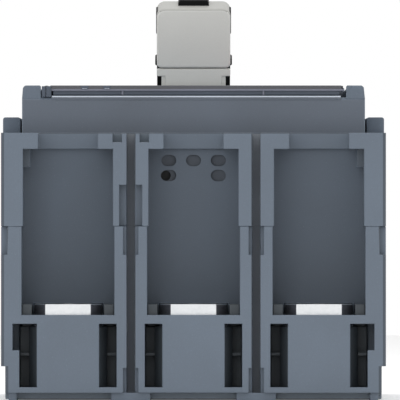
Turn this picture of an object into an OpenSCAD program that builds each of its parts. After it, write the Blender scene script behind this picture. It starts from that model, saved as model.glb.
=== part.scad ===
// Three-pole molded case circuit breaker, lying on its back.
// X runs across the poles, Y from the load end (minus) to the line end (plus), Z out of the front.
// The origin is on the mounting plane, under the middle of the housing.

/* [Housing] */
// Width across the three poles
body_w = 138; // [136:0.5:144]
// Length over the two terminal ends
body_l = 248; // [244:1:260]
// Distance between neighbouring pole centres
pole_pitch = 45; // [44.4:0.1:45.6]
// Height of the joint between base and cover
parting_z = 62.8; // [62.4:0.1:64]
// Height of the cover over the terminals
terminal_top_z = 96.3; // [95:0.1:99]
// Height of the raised front of the cover
front_z = 109.2; // [108.6:0.1:111]
// How far the side rails and the handle frame stand above the front
rail_h = 4.3; // [4:0.1:6]
// Height of the two long side shoulders
shoulder_z = 102.1; // [99:0.1:105]
// Rounding of the upright corners
corner_r = 1.3; // [0.6:0.1:2]
// Thickness of the back wall behind the poles
floor_t = 3.2; // [2.4:0.1:4]
// Wall between neighbouring poles
phase_wall_t = 5; // [4.6:0.1:5.2]
// Height of the feet under the back wall
foot_h = 0.8; // [0.5:0.1:1.6]

/* [Terminal chambers] */
// Depth of a terminal chamber from the end of the housing
chamber_d = 26; // [24:0.5:28]
// Clear width of a chamber in the cover
chamber_w = 32.2; // [30:0.1:33]
// Thickness of the roof over a chamber
roof_t = 5.8; // [4:0.1:8]
// Width of the screwdriver notch in the roof
notch_w = 21.4; // [18:0.1:24]
// Width of the slot between poles that takes a barrier
barrier_gap = 2.9; // [2:0.1:3.4]
// Width of a terminal bar
terminal_w = 24.3; // [22:0.1:25.4]
// Thickness of a terminal bar
terminal_t = 8; // [6:0.1:9]
// Height of the top face of a terminal bar
terminal_z = 34.9; // [34:0.1:36]
// Radius of the bolt hole in a terminal bar
terminal_hole_r = 5.5; // [4.4:0.1:5.8]
// Distance of the bolt hole from the end of the housing
terminal_hole_in = 13; // [12:0.5:15]
// Width across the flats of a terminal nut
nut_af = 17; // [15:0.5:18]
// Height of a terminal nut
nut_h = 8; // [6:0.5:9]
// Width of an arc vent over the line terminals
vent_w = 6; // [4:0.5:8]
// Height of an arc vent
vent_h = 10; // [6:0.5:12]
// Distance between neighbouring vents of a pole
vent_pitch = 10; // [9:0.5:11]

/* [Mounting] */
// Distance of the mounting holes along the housing
mount_pitch_y = 213; // [208:1:216]
// Radius of a mounting hole
mount_r = 2.75; // [2.2:0.05:3.2]
// Radius of the well that the screw head goes down
mount_well_r = 4.5; // [4:0.1:4.6]

/* [Contacts] */
// Place of the rotor axis along the housing
rotor_y = 12; // [11.5:0.1:12.5]
// Height of the rotor axis
rotor_z = 50; // [49.5:0.1:50.5]
// Radius of a rotor drum
drum_r = 17; // [15.5:0.1:17.2]
// Width of a rotor drum
drum_w = 18; // [16:0.1:18.6]
// Radius of the drum journals
journal_r = 5.2; // [4:0.1:5.6]
// Running clearance of journals and pins
running_gap = 0.06; // [0.03:0.01:0.09]
// Radius of the circle on which the two rods lie
rod_circle_r = 10.8; // [10.5:0.1:11]
// Radius of a rotor rod
rod_r = 2.6; // [2.2:0.1:2.8]
// Angle of the first rod when the breaker is off
rod_angle_off = 30.4; // [29:0.1:32]
// Angle between the off and the on position of the rotor
contact_swing = 35; // [33:0.5:36]
// Reach of a contact bridge from the rotor axis
bridge_reach = 42; // [40:0.1:43]
// Width of a contact bridge
bridge_w = 12; // [10:0.1:12.4]
// Thickness of a contact bridge
bridge_t = 6; // [5:0.1:6.4]
// Thickness of a contact tip
tip_t = 1.5; // [1:0.1:2]
// Width of the conductors inside a pole
conductor_w = 16; // [14:0.1:17]
// Thickness of the conductors inside a pole
conductor_t = 5; // [4:0.1:5.4]
// Number of splitter plates in one arc chute
splitters = 8; // [4:1:8]
// Thickness of a splitter plate
splitter_t = 1.5; // [1:0.1:1.8]
// Thickness of the insulating cheeks
cheek_t = 1.8; // [1.4:0.1:1.8]

/* [Handle] */
// Place of the handle pivot along the housing
pivot_y = 7; // [6.5:0.1:7.5]
// Height of the handle pivot
pivot_z = 68; // [67.6:0.1:68.6]
// Angle between the off and the on position of the handle
handle_swing = 38; // [36:0.5:39]
// Distance from the pivot to the top of the handle
handle_l = 81.5; // [76:0.5:86]
// Width of the handle
handle_w = 26.8; // [24:0.1:27.4]
// Thickness of the handle core
core_t = 7.2; // [6:0.1:7.6]
// Thickness of the handle cap
cap_t = 10; // [9.4:0.1:11]
// Distance from the pivot to the seam between cap and sleeve
seam_l = 56.8; // [55.5:0.1:58]

/* [Mechanism] */
// Place of the cradle pin along the housing
cradle_pin_y = -7.5; // [-8:0.1:-7]
// Height of the cradle pin
cradle_pin_z = 83.4; // [83:0.1:83.8]
// Length of the upper links
upper_link_l = 20.2; // [20:0.1:20.5]
// Length of the lower links
lower_link_l = 26; // [25.8:0.1:26.2]
// Radius of the link pins
pin_r = 2; // [1.6:0.1:2.1]
// Thickness of the side plates
side_plate_t = 2; // [1.6:0.1:2]
// Push of the trip button
button_travel = 2; // [1.5:0.1:2.2]

/* [Accessory flap] */
// Thickness of the flap's plate
flap_t = 1.9; // [1.6:0.1:2.4]
// Height of the rim under the plate
flap_rim_h = 1.6; // [1:0.1:1.8]
// Width of the opening round the handle frame
flap_window_w = 50; // [50:0.5:56]
// Distance of the hinge axis from the side rail
hinge_in = 2.1; // [2:0.1:2.4]
// Radius of the hinge barrels
hinge_r = 1.75; // [1.6:0.05:1.8]
// Radius of the hinge pins
hinge_pin_r = 0.8; // [0.6:0.05:0.9]
// How far the line end of the flap lies from the middle
flap_line_y = 52; // [50:0.5:56]
// Depth of the two label fields in the flap
field_d = 0.5; // [0.2:0.1:0.8]

/* [Trip unit] */
// Distance of the trip unit's case from the side of the housing
trip_in = 11.4; // [11:0.2:13]
// Wall thickness of the case
trip_wall = 2; // [1.5:0.1:2.4]
// Radius of an adjustment dial
dial_r = 5; // [4:0.1:6]
// Distance between the dials
dial_pitch = 20; // [16:0.5:24]
// Outer height of a current transformer
transformer_h = 37; // [30:0.5:37]
// Thickness of the circuit board
board_t = 1.6; // [1:0.1:2]

/* [Hidden] */
$fn = 48;

shell_grey = [0.42, 0.46, 0.50];
flap_grey = [0.38, 0.39, 0.42];
cap_grey = [0.72, 0.72, 0.70];
sleeve_grey = [0.62, 0.62, 0.60];
black = [0.07, 0.08, 0.08];
copper = [0.78, 0.48, 0.32];
silver_plate = [0.86, 0.87, 0.88];
zinc = [0.66, 0.67, 0.66];
brown = [0.28, 0.26, 0.24];

// Overshoot of every cut past the face that it opens
cut = 0.5;

// Housing planes
half_w = body_w / 2;
half_l = body_l / 2;
wall_t = 4;
bay_half = (pole_pitch - phase_wall_t) / 2;
end_y = half_l - chamber_d;
end_wall_t = 6;
bay_end_y = end_y - end_wall_t;
floor_z = foot_h + floor_t;
skirt_z = foot_h + 11.8;
skirt_in = 1.5;
near_bottom_z = foot_h + 2.3;
raised_half_w = half_w - 7.2;
raised_end_y = half_l - 36.5;
raised_roof_t = 3;
shoulder_y = raised_end_y - 21.5;
roof_in_z = front_z - raised_roof_t;
rail_z = front_z + rail_h;
rail_in_x = raised_half_w - 6.8;
boss_y = end_y - 5;
boss_r = 5;
screw_r = 2;
screw_head_r = 3.9;
screw_seat_z = terminal_top_z - 8;
mount_x = pole_pitch / 2;
mount_y = mount_pitch_y / 2;

// Terminal chambers
chamber_half = chamber_w / 2;
base_chamber_half = chamber_half + 0.5;
nut_well_half = base_chamber_half + 0.8;
front_wall_t = 2.2;
crossbar_z = terminal_z - 3.9;
terminal_end_y = half_l - front_wall_t - 0.3;
terminal_bolt_y = half_l - terminal_hole_in;
terminal_bottom_z = terminal_z - terminal_t;
slot_in_x = 11.2;
slot_top_z = crossbar_z - 3.2;
widening_d = 20;
well_floor_z = floor_z + 1.1;
keeper_top_z = terminal_bottom_z - 0.1;
ear_gap = 0.8;
seat_gap = 0.1;

// Contact system
drum_half = drum_w / 2;
rod_seat_x = bridge_w / 2 + 0.6;
rod_angle_on = rod_angle_off - contact_swing;
rod_off = [rotor_y + rod_circle_r * cos(rod_angle_off), rotor_z + rod_circle_r * sin(rod_angle_off)];
cheek_out_x = bay_half - 0.2;
cheek_in_x = cheek_out_x - cheek_t;
contact_gap = 0.1;
pad_x = bridge_reach - 4;
pad_h = bridge_t / 2 + tip_t + contact_gap + tip_t;
run_z = terminal_z - rotor_z;
loop_top = -pad_h;
loop_bottom = run_z - conductor_t;
loop_r = (loop_top - loop_bottom) / 2;
loop_z = (loop_top + loop_bottom) / 2;
turn_in_r = loop_r - conductor_t;
loop_y = drum_r + 5.4 + loop_r;
chute_in = 40;
chute_z0 = -1.5;
splitter_pitch = 3.6;
leg_y = -bay_end_y + 23;
leg_gap = 6;
chute_out = rotor_y - leg_y - conductor_t - leg_gap;
transformer_y = [-bay_end_y + 5.5, leg_y - 3.5];
transformer_z = terminal_z - terminal_t / 2;

// Handle and shutter, measured from the pivot
core_half_w = handle_w / 2 - 0.1;
sleeve_t = cap_t - 0.8;
cap_top_l = handle_l - 1.9;
tab_t = cap_t - 1.6;
shutter_in_r = 39.6;
shutter_out_r = 40.8;
shutter_room_r = shutter_out_r + 0.8;
slot_half_x = handle_w / 2 + 0.8;
slot_reach = (rail_z - pivot_z) * tan(handle_swing / 2) + sleeve_t / 2 / cos(handle_swing / 2) + 1.2;
shutter_half_a = asin(slot_reach / shutter_room_r) + handle_swing / 2 + 1.5;
yoke_r = 37;
yoke_plate_t = 2.5;
spring_bar_r = 32;

// Layers of the mechanism, from the middle outwards
lower_link_x = [drum_half + 0.6, drum_half + 3];
upper_link_x = [lower_link_x[1] + 0.3, lower_link_x[1] + 2.3];
cradle_x = [upper_link_x[1] + 0.3, upper_link_x[1] + 2.1];
yoke_x = [cradle_x[1] + 0.6, cradle_x[1] + 2.6];
side_plate_x = [bay_half + 0.2, bay_half + 0.2 + side_plate_t];
knee_off = link_joint([cradle_pin_y, cradle_pin_z], rod_off, upper_link_l, lower_link_l);
open_pivot_gap = 0.75;
latch_pivot = [cradle_pin_y - 17, cradle_pin_z - 8.9];
trip_axis = [latch_pivot[0] - 6.5, latch_pivot[1] - 1];
cradle_pivot = [cradle_pin_y + 41.5, cradle_pin_z + 0.6];
cradle_tip = [latch_pivot[0] + 5.5, latch_pivot[1] + 5.5];
spacer_1 = [rotor_y + 28, pivot_z + 11];
spacer_2 = [latch_pivot[0] + 10.5, latch_pivot[1] - 0.5];

// Front of the cover
bay_y0 = pivot_y - 43.6;
bay_y1 = pivot_y + 43;
pocket_in_x = side_plate_x[1] + 3.8;
pocket_out_x = rail_in_x - 4;
pocket_y = [-28, 48];
pocket_floor_z = 79;
frame_half_x = flap_window_w / 2 - 0.5;
frame_y = [-30, 46];
button_at = [yoke_x[0] + 0.9, -24];
button_r = 3.4;
button_stem_r = 1.6;
button_floor_z = front_z - 1.3;
arm_z = trip_axis[1] + 5.2;
hinge_x = rail_in_x - hinge_in;
hinge_z = rail_z - hinge_r - 0.05;
lug_y = [[-raised_end_y + 4.3, -raised_end_y + 9.8], [-4, 4], [flap_line_y - 9, flap_line_y - 4]];
pin_y = [[-raised_end_y + 1.8, -raised_end_y + 18], [-14, 14], [flap_line_y - 16, flap_line_y - 0.5]];
flap_bottom_z = rail_z - flap_t - flap_rim_h;

// Trip unit
trip_w = body_w - 2 * trip_in;
trip_y = [-bay_end_y + 8.4, bay_y0 - 0.4];
trip_z = [parting_z + 9.6, roof_in_z - 0.3];
window_half_x = rail_in_x - 4;
window_y = [trip_y[0] + 3.1, trip_y[1] - 3];
trip_window_x = window_half_x - 13;
trip_window_y = [window_y[0] + 3.5, window_y[1] - 4];
dial_y = (window_y[0] + window_y[1]) / 2;
dial_x0 = -14;
display_x = 32;
display_w = 20;
display_h = 14;
board_z = trip_z[1] - 9;
solenoid_at = [-8, trip_z[0] + trip_wall + 3.8];
solenoid_r = 3.7;
plunger_r = 1.4;
plunger_travel = 1.2;

// Point where two links of lengths a and b, pinned at p and q, meet on the side of plus Y
function link_joint(p, q, a, b) =
  let (d = norm(q - p), u = (q - p) / d, m = (a * a - b * b + d * d) / (2 * d), h = sqrt(a * a - m * m))
  p + m * u + h * [-u[1], u[0]];

// Box between two limits on each axis
module slab(x, y, z) {
  translate([x[0], y[0], z[0]]) cube([x[1] - x[0], y[1] - y[0], z[1] - z[0]]);
}

// Copies of the children on each pole centre
module each_pole() {
  for (i = [-1, 0, 1]) translate([i * pole_pitch, 0, 0]) children();
}

// The children, made at the load end, at both ends
module both_ends() {
  for (m = [0, 1]) mirror([0, m, 0]) children();
}

// The children, made on the side of plus X, on both sides
module both_sides() {
  for (m = [0, 1]) mirror([m, 0, 0]) children();
}

// Outline drawn in Y and Z, extruded between two places on X
module along_x(x) {
  translate([x[0], 0, 0]) rotate([90, 0, 90]) linear_extrude(x[1] - x[0]) children();
}

// Outline drawn in X and Z, extruded between two places on Y
module along_y(y) {
  translate([0, y[1], 0]) rotate([90, 0, 0]) linear_extrude(y[1] - y[0]) children();
}

// Round bar along X through a point in Y and Z
module bar_x(p, r, x) {
  translate([x[0], p[0], p[1]]) rotate([0, 90, 0]) cylinder(r = r, h = x[1] - x[0]);
}

// Round bar along Y through a point in X and Z
module bar_y(p, r, y) {
  translate([p[0], y[1], p[1]]) rotate([90, 0, 0]) cylinder(r = r, h = y[1] - y[0]);
}

// Rectangle with round corners, centred
module round_rect(w, l, r) {
  square([w - 2 * r, l], center = true);
  square([w, l - 2 * r], center = true);
  for (sx = [-1, 1], sy = [-1, 1]) translate([sx * (w / 2 - r), sy * (l / 2 - r)]) circle(r);
}

// Rectangle between two limits with round corners
module round_rect_between(x, y, r) {
  translate([(x[0] + x[1]) / 2, (y[0] + y[1]) / 2]) round_rect(x[1] - x[0], y[1] - y[0], r);
}

// Slot bent along an arc round the origin, with round ends
module arc_slot(rc, r, a0, a1) {
  intersection() {
    difference() {
      circle(rc + r - 0.05);
      circle(rc - r + 0.05);
    }
    polygon([[0, 0], for (a = [a0, (a0 + a1) / 2, a1]) 3 * rc * [cos(a), sin(a)]]);
  }
  for (a = [a0, a1]) rotate(a) translate([rc, 0]) circle(r);
}

// Part of a ring between two radii, open angle measured both ways from plus Y of the sketch
module ring_part(r0, r1, half_a) {
  intersection() {
    difference() {
      circle(r1, $fn = 96);
      circle(r0, $fn = 96);
    }
    polygon([[0, 0], for (a = [-half_a, -half_a / 2, 0, half_a / 2, half_a]) 2 * r1 * [sin(a), cos(a)]]);
  }
}

// Strip of a link between two points, with an eye at each end
module link_outline(p, q, eye_p, eye_q, strip) {
  translate(p) circle(eye_p);
  translate(q) circle(eye_q);
  translate(p) rotate(atan2(q[1] - p[1], q[0] - p[0])) translate([0, -strip / 2])
    square([norm(q - p), strip]);
}

// Helical spring along plus Z from the origin
module coil(r, wire_r, length, turns) {
  steps = 12;
  sides = 6;
  n = turns * steps;
  points = [for (i = [0:n], k = [0:sides - 1])
    let (a = 360 * i / steps, b = 360 * k / sides, d = r + wire_r * cos(b))
    [d * cos(a), d * sin(a), wire_r + (length - 2 * wire_r) * i / n + wire_r * sin(b)]];
  walls = [for (i = [0:n - 1], k = [0:sides - 1])
    let (j = (k + 1) % sides)
    [i * sides + k, i * sides + j, (i + 1) * sides + j, (i + 1) * sides + k]];
  ends = [[for (k = [sides - 1:-1:0]) k], [for (k = [0:sides - 1]) n * sides + k]];
  polyhedron(points, concat(walls, ends));
}

// Base housing

module base_body() {
  difference() {
    union() {
      translate([0, 0, foot_h]) linear_extrude(skirt_z - foot_h)
        round_rect(body_w - 2 * skirt_in, body_l, corner_r);
      translate([0, 0, skirt_z]) linear_extrude(parting_z - skirt_z) round_rect(body_w, body_l, corner_r);
    }
    both_ends() slab([-half_w, half_w], [-half_l - cut, -half_l + 6], [-cut, near_bottom_z]);
    each_pole() slab([-bay_half, bay_half], [-bay_end_y, bay_end_y], [floor_z, parting_z + cut]);
  }
  both_ends() {
    for (s = [-1, 1]) slab([s * mount_x - 7.1, s * mount_x + 7.1], [-half_l + 2, -end_y + 4], [0, floor_z]);
    both_sides() slab([half_w - 5.7, half_w - 2.7], [-half_l + 2, -end_y + 8], [0, floor_z]);
  }
  both_sides() slab([mount_x - 7.1, mount_x + 7.1], [-14, 14], [0, floor_z]);
}

// Inner posts, ribs and the raised phase walls under the trip unit
module base_inner() {
  both_ends() both_sides() translate([mount_x, -boss_y, floor_z - cut])
    cylinder(r = boss_r, h = parting_z - floor_z + cut);
  both_sides() slab([bay_half, bay_half + phase_wall_t], [trip_y[0] - 0.4, trip_y[1]],
    [parting_z - 1, trip_z[0] - seat_gap]);
  each_pole() {
    slab([-7, 7], [bay_end_y - 34, bay_end_y - 8], [floor_z - cut, terminal_z - conductor_t]);
    slab([-7, 7], [leg_y - 1, leg_y + 5], [floor_z - cut, terminal_bottom_z]);
    slab([-15, 15], [transformer_y[0] + 0.5, transformer_y[1] - 0.5],
      [floor_z - cut, transformer_z - transformer_h / 2 - seat_gap]);
    slab([-12, 12], [bay_end_y - 8, bay_end_y + cut], [floor_z - cut, terminal_bottom_z]);
  }
}

// One terminal chamber, cut at the load end
module base_chamber() {
  slab([-base_chamber_half, base_chamber_half], [-half_l - cut, -end_y], [crossbar_z, parting_z + cut]);
  slab([-nut_well_half, nut_well_half], [-half_l + front_wall_t, -end_y], [well_floor_z, crossbar_z + cut]);
  both_sides() slab([slot_in_x, nut_well_half], [-half_l - cut, -half_l + front_wall_t + cut],
    [well_floor_z, slot_top_z]);
  slab([-terminal_w / 2 - seat_gap, terminal_w / 2 + seat_gap], [-end_y - cut, -bay_end_y + cut],
    [terminal_bottom_z, terminal_z + seat_gap]);
}

module base_housing() color(shell_grey) {
  difference() {
    union() {
      base_body();
      base_inner();
    }
    both_ends() {
      each_pole() base_chamber();
      // Outermost slots are wider in their upper half
      both_sides() slab([pole_pitch + nut_well_half - cut, pole_pitch + nut_well_half + 2.4],
        [-half_l - cut, -half_l + widening_d], [well_floor_z + 13.3, slot_top_z]);
      both_sides() {
        // Slot between the poles for a barrier
        slab([mount_x - barrier_gap / 2, mount_x + barrier_gap / 2], [-half_l - cut, -end_y],
          [near_bottom_z, parting_z + cut]);
        // Steps in the edges of the slot and in the outer edge
        slab([mount_x - barrier_gap / 2 - 1.2, mount_x + barrier_gap / 2 + 1.2],
          [-half_l - cut, -half_l + 4],
          [parting_z - 10.2, parting_z + cut]);
        slab([mount_x - barrier_gap / 2 - 1.2, mount_x + barrier_gap / 2 + 1.2],
          [-half_l - cut, -half_l + 4],
          [near_bottom_z, skirt_z - 0.7]);
        slab([half_w - 2.3, half_w + cut], [-half_l - cut, -half_l + 4],
          [parting_z - 10.2, parting_z + cut]);
        // Mounting screw well and hole
        translate([mount_x, -mount_y, 6]) cylinder(r = mount_well_r, h = parting_z);
        translate([mount_x, -mount_y, -cut]) cylinder(r = mount_r, h = 8);
        // Thread of a cover screw
        translate([mount_x, -boss_y, parting_z - 20]) cylinder(r = screw_r, h = 21);
      }
    }
    // Room for the rods in the phase walls
    both_sides() {
      bar_x([rotor_y, rotor_z], rod_circle_r + rod_r + 1.2,
        [bay_half - cut, bay_half + phase_wall_t + cut]);
      slab([bay_half - cut, bay_half + phase_wall_t + cut],
        [rotor_y - rod_circle_r - rod_r - 1.2, rotor_y + rod_circle_r + rod_r + 1.2],
          [rotor_z, parting_z + cut]);
    }
  }
}

// Main cover

// Raised front with its sloped end walls
module cover_raised() {
  along_x([-raised_half_w, raised_half_w])
    polygon([[-raised_end_y - 0.8, parting_z], [raised_end_y + 0.8, parting_z],
      [raised_end_y + 0.8, terminal_top_z], [raised_end_y - 0.2, front_z - 0.8],
        [raised_end_y - 1, front_z],
      [-raised_end_y + 1, front_z], [-raised_end_y + 0.2, front_z - 0.8],
        [-raised_end_y - 0.8, terminal_top_z]]);
  // Rails at both sides, with a bevel that the open flap passes
  both_sides() along_y([-raised_end_y + 0.4, raised_end_y - 0.4])
    polygon([[rail_in_x, front_z - cut], [raised_half_w, front_z - cut],
      [raised_half_w - 0.3, rail_z - 0.8],
      [raised_half_w - 1.1, rail_z], [rail_in_x + 1.6, rail_z], [rail_in_x, rail_z - 1.6]]);
  // Lip under the load end of the flap
  along_x([-rail_in_x + 3.9, rail_in_x - 1.9]) polygon([[-raised_end_y + 0.2, front_z - 0.1],
    [-raised_end_y + 0.9, front_z + 0.7],
    [-raised_end_y + 1.9, front_z + 0.7], [-raised_end_y + 2.2, front_z - 0.1]]);
  // Fixed panel at the line end
  slab([-rail_in_x - cut, rail_in_x + cut], [flap_line_y + 0.6, raised_end_y - 0.4],
    [front_z - cut, rail_z]);
  // Frame round the handle slot
  translate([0, 0, front_z - cut]) linear_extrude(rail_h + cut)
    round_rect_between([-frame_half_x, frame_half_x], frame_y, 3);
}

module cover_outer() {
  translate([0, 0, parting_z]) linear_extrude(terminal_top_z - parting_z)
    round_rect(body_w, body_l, corner_r);
  cover_raised();
  // Shoulders along the two sides
  both_sides() along_y([-shoulder_y, shoulder_y])
    round_rect_between([raised_half_w + 0.8, half_w - 0.1], [terminal_top_z - 8, shoulder_z], 0.9);
}

// One terminal chamber with its roof notch, cut at the load end
module cover_chamber() {
  slab([-chamber_half, chamber_half], [-half_l - cut, -end_y], [parting_z - cut, terminal_top_z - roof_t]);
  slab([-notch_w / 2, notch_w / 2], [-half_l - cut, -end_y - 2], [parting_z - cut, terminal_top_z + cut]);
}

// Room for the poles, the trip unit, the mechanism and the accessories
module cover_rooms() {
  each_pole() {
    slab([-bay_half, bay_half], [-bay_end_y, bay_end_y], [parting_z - cut, pocket_floor_z - 2]);
    slab([-bay_half, bay_half], [bay_y1 + 3, bay_end_y - 8], [parting_z - cut, terminal_top_z - 3.3]);
    slab([-13, 13], [bay_y1 + 3, bay_end_y - 8], [parting_z - cut, roof_in_z]);
    // Arc vents over the line terminals
    for (k = [-1, 0, 1]) slab([k * vent_pitch - vent_w / 2, k * vent_pitch + vent_w / 2],
      [bay_end_y - cut, end_y + cut],
      [parting_z + 3.2, parting_z + 3.2 + vent_h]);
  }
  slab([-trip_w / 2 - 0.4, trip_w / 2 + 0.4], [trip_y[0] - 0.4, bay_y0 + 0.1],
    [parting_z - cut, roof_in_z]);
  slab([-window_half_x, window_half_x], window_y, [roof_in_z - cut, front_z + cut]);
  slab([-side_plate_x[1] - 0.3, side_plate_x[1] + 0.3], [bay_y0, bay_y1], [parting_z - cut, roof_in_z]);
  both_sides() {
    slab([pocket_in_x, pocket_out_x], pocket_y, [pocket_floor_z, front_z + cut]);
    slab([pocket_out_x + 2.5, raised_half_w - 2.5], [bay_y0 + 2.6, bay_end_y - 8],
      [pocket_floor_z - 4, roof_in_z - 2]);
    slab([raised_half_w, raised_half_w + 0.8], [-raised_end_y - 0.8, raised_end_y + 0.8],
      [terminal_top_z - 4, shoulder_z + cut]);
  }
}

// Slot for the handle, with room for the shutter below it
module cover_handle_slot() {
  bar_x([pivot_y, pivot_z], shutter_room_r, [-slot_half_x - 2, slot_half_x + 2]);
  slab([-slot_half_x, slot_half_x], [pivot_y - slot_reach, pivot_y + slot_reach],
    [roof_in_z - 4, rail_z + cut]);
}

module cover_wiring_channel() {
  translate([-mount_x, 0, 0]) {
    slab([-barrier_gap / 2 - 2.6, barrier_gap / 2 + 2.6], [-half_l - cut, -half_l + 6],
      [parting_z - cut, parting_z + 14.8]);
    both_sides() slab([barrier_gap / 2 + 1.8, barrier_gap / 2 + 5], [-half_l - cut, -half_l + 14],
      [terminal_top_z - 3.4, terminal_top_z + cut]);
  }
}

// Knock-outs for control leads over the middle load terminal
module cover_knock_outs() {
  for (p = [[-8.9, 86.4], [0, 86.4], [8.95, 86.4], [-8.9, 81], [8.95, 81]])
    along_y([-end_y - cut, -end_y + 1.6]) translate(p) {
      square([1.3, 4.1], center = true);
      for (s = [-1, 1]) translate([0.65 * s, 0]) circle(2.05);
    }
  bar_y([-10, 81], 1.8, [-end_y, -end_y + 3.5]);
}

module cover_hinge_lugs() {
  for (y = lug_y) along_y(y) {
    translate([-hinge_x, hinge_z]) circle(hinge_r);
    translate([-hinge_x - hinge_r, front_z - cut]) square([2 * hinge_r, hinge_z - front_z + cut]);
  }
}

module main_cover() color(shell_grey) difference() {
  union() {
    difference() {
      cover_outer();
      both_ends() {
        each_pole() cover_chamber();
        both_sides() {
          slab([mount_x - barrier_gap / 2, mount_x + barrier_gap / 2], [-half_l - cut, -end_y],
            [parting_z - cut, terminal_top_z + cut]);
          translate([mount_x, -mount_y, parting_z - cut]) cylinder(r = mount_well_r, h = 60);
        }
      }
      cover_rooms();
      cover_handle_slot();
      cover_wiring_channel();
      cover_knock_outs();
    }
    cover_hinge_lugs();
    both_ends() both_sides() translate([mount_x, -boss_y, parting_z]) cylinder(r = boss_r, h = 20);
    // Blocks in the outer top corners of the load chambers
    both_sides() slab([pole_pitch + chamber_half - 2.5, pole_pitch + chamber_half + cut],
      [-end_y - 20, -end_y + cut], [terminal_top_z - roof_t - 6.5, terminal_top_z - roof_t + cut]);
  }
  both_ends() both_sides() {
    translate([mount_x, -boss_y, parting_z - cut]) cylinder(r = screw_r + 0.2, h = 40);
    translate([mount_x, -boss_y, screw_seat_z]) cylinder(r = screw_head_r + 0.2, h = 40);
  }
  bar_y([-hinge_x, hinge_z], hinge_pin_r + 0.02, [-raised_end_y, flap_line_y]);
  translate([button_at[0], button_at[1], button_floor_z]) cylinder(r = button_r + 0.15, h = 20);
  translate([button_at[0], button_at[1], roof_in_z - 2]) cylinder(r = button_stem_r + running_gap, h = 20);
}

module cover_screws() color(zinc) both_ends() both_sides() translate([mount_x, -boss_y, 0]) {
  difference() {
    union() {
      translate([0, 0, parting_z - 16]) cylinder(r = screw_r - 0.02,
        h = screw_seat_z - parting_z + 16 + cut);
      translate([0, 0, screw_seat_z]) cylinder(r = screw_head_r, h = 3.2);
    }
    translate([0, 0, screw_seat_z + 1.4]) cylinder(r = 1.7, h = 3, $fn = 6);
  }
}

// Accessory flap, lying closed

module accessory_cover() color(flap_grey) difference() {
  union() {
    slab([-hinge_x + 1.2, rail_in_x - 1.6], [-raised_end_y + 0.7, flap_line_y], [rail_z - flap_t, rail_z]);
    difference() {
      slab([-hinge_x + 2.2, rail_in_x - 2.3], [-raised_end_y + 1.4, flap_line_y - 0.7],
        [flap_bottom_z, rail_z - flap_t + cut]);
      slab([-hinge_x + 4.2, rail_in_x - 4.3], [-raised_end_y + 3.4, flap_line_y - 2.7],
        [flap_bottom_z - cut, rail_z - flap_t]);
    }
    // Rims round the two windows
    slab([-flap_window_w / 2 - 1.6, flap_window_w / 2 + 1.6], [frame_y[0] - 2.1, frame_y[1] + 2.1],
      [flap_bottom_z + 0.6, rail_z - flap_t + cut]);
    slab([-trip_window_x - 1.6, trip_window_x + 1.6], [trip_window_y[0] - 1.6, trip_window_y[1] + 1.6],
      [flap_bottom_z + 0.6, rail_z - flap_t + cut]);
    bar_y([-hinge_x, hinge_z], hinge_r, [-raised_end_y + 0.7, flap_line_y]);
    // Finger lip at the free edge
    slab([rail_in_x - 3.4, rail_in_x - 0.9], [dial_y - 6, dial_y + 6], [rail_z - flap_t, rail_z]);
  }
  // Label fields, left bare
  both_sides() translate([0, 0, rail_z - field_d]) linear_extrude(field_d + cut)
    round_rect_between([flap_window_w / 2 + 3.5, hinge_x - 4.5], [frame_y[0] - 2, frame_y[1]], 1.5);
  for (y = lug_y) slab([-hinge_x - 2, -hinge_x + 2.5], [y[0] - 0.15, y[1] + 0.15],
    [front_z - cut, rail_z + cut]);
  bar_y([-hinge_x, hinge_z], hinge_pin_r + running_gap, [-raised_end_y - cut, flap_line_y + cut]);
  slab([-flap_window_w / 2, flap_window_w / 2], [frame_y[0] - 0.5, frame_y[1] + 0.5],
    [front_z - cut, rail_z + cut]);
  slab([-trip_window_x, trip_window_x], trip_window_y, [front_z - cut, rail_z + cut]);
}

module flap_hinge_pins() color(zinc) for (y = pin_y) bar_y([-hinge_x, hinge_z], hinge_pin_r, y);

// Handle, drawn upright round its pivot and then tilted to the off position

module tilt() {
  translate([0, pivot_y, pivot_z]) rotate([handle_swing / 2, 0, 0]) children();
}

module core_outline() {
  translate([-core_half_w, yoke_r]) square([2 * core_half_w, seam_l - yoke_r]);
  round_rect_between([-core_half_w + 1.1, core_half_w - 1.1], [seam_l - 4, handle_l - 3], 2);
}

module toggle_lever() color(black) tilt() {
  along_y([-core_t / 2, core_t / 2]) core_outline();
  // Ribs and pips that show through the sides of the cap
  along_y([-2.5, 2.5]) round_rect_between([-core_half_w - 0.35, core_half_w + 0.35],
    [handle_l - 12.1, handle_l - 3.5], 0.3);
  along_y([-2.2, 2.2]) round_rect_between([-core_half_w - 0.7, core_half_w + 0.7],
    [seam_l + 0.3, seam_l + 3], 0.6);
  // Tip that stands out of the top of the cap
  along_y([-tab_t / 2, tab_t / 2])
    polygon([[-5.6, cap_top_l - 1.6], [5.6, cap_top_l - 1.6], [5.6, cap_top_l + 0.3], [5.1, handle_l],
      [-5.1, handle_l], [-5.6, cap_top_l + 0.3]]);
}

module handle_sleeve() color(sleeve_grey) tilt() difference() {
  union() {
    along_y([-sleeve_t / 2, sleeve_t / 2]) round_rect_between([-handle_w / 2, handle_w / 2],
      [seam_l - 3, seam_l - 0.3], 0.6);
    slab([-handle_w / 2 + 1.7, handle_w / 2 - 1.7], [-sleeve_t / 2 + 0.5, sleeve_t / 2 - 0.5],
      [shutter_out_r + 0.6, seam_l - 2]);
    slab([-handle_w / 2 + 3.1, handle_w / 2 - 3.1], [-sleeve_t / 2, sleeve_t / 2],
      [shutter_out_r + 0.6, seam_l - 2]);
  }
  slab([-core_half_w - 0.02, core_half_w + 0.02], [-core_t / 2 - 0.02, core_t / 2 + 0.02], [0, handle_l]);
}

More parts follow.
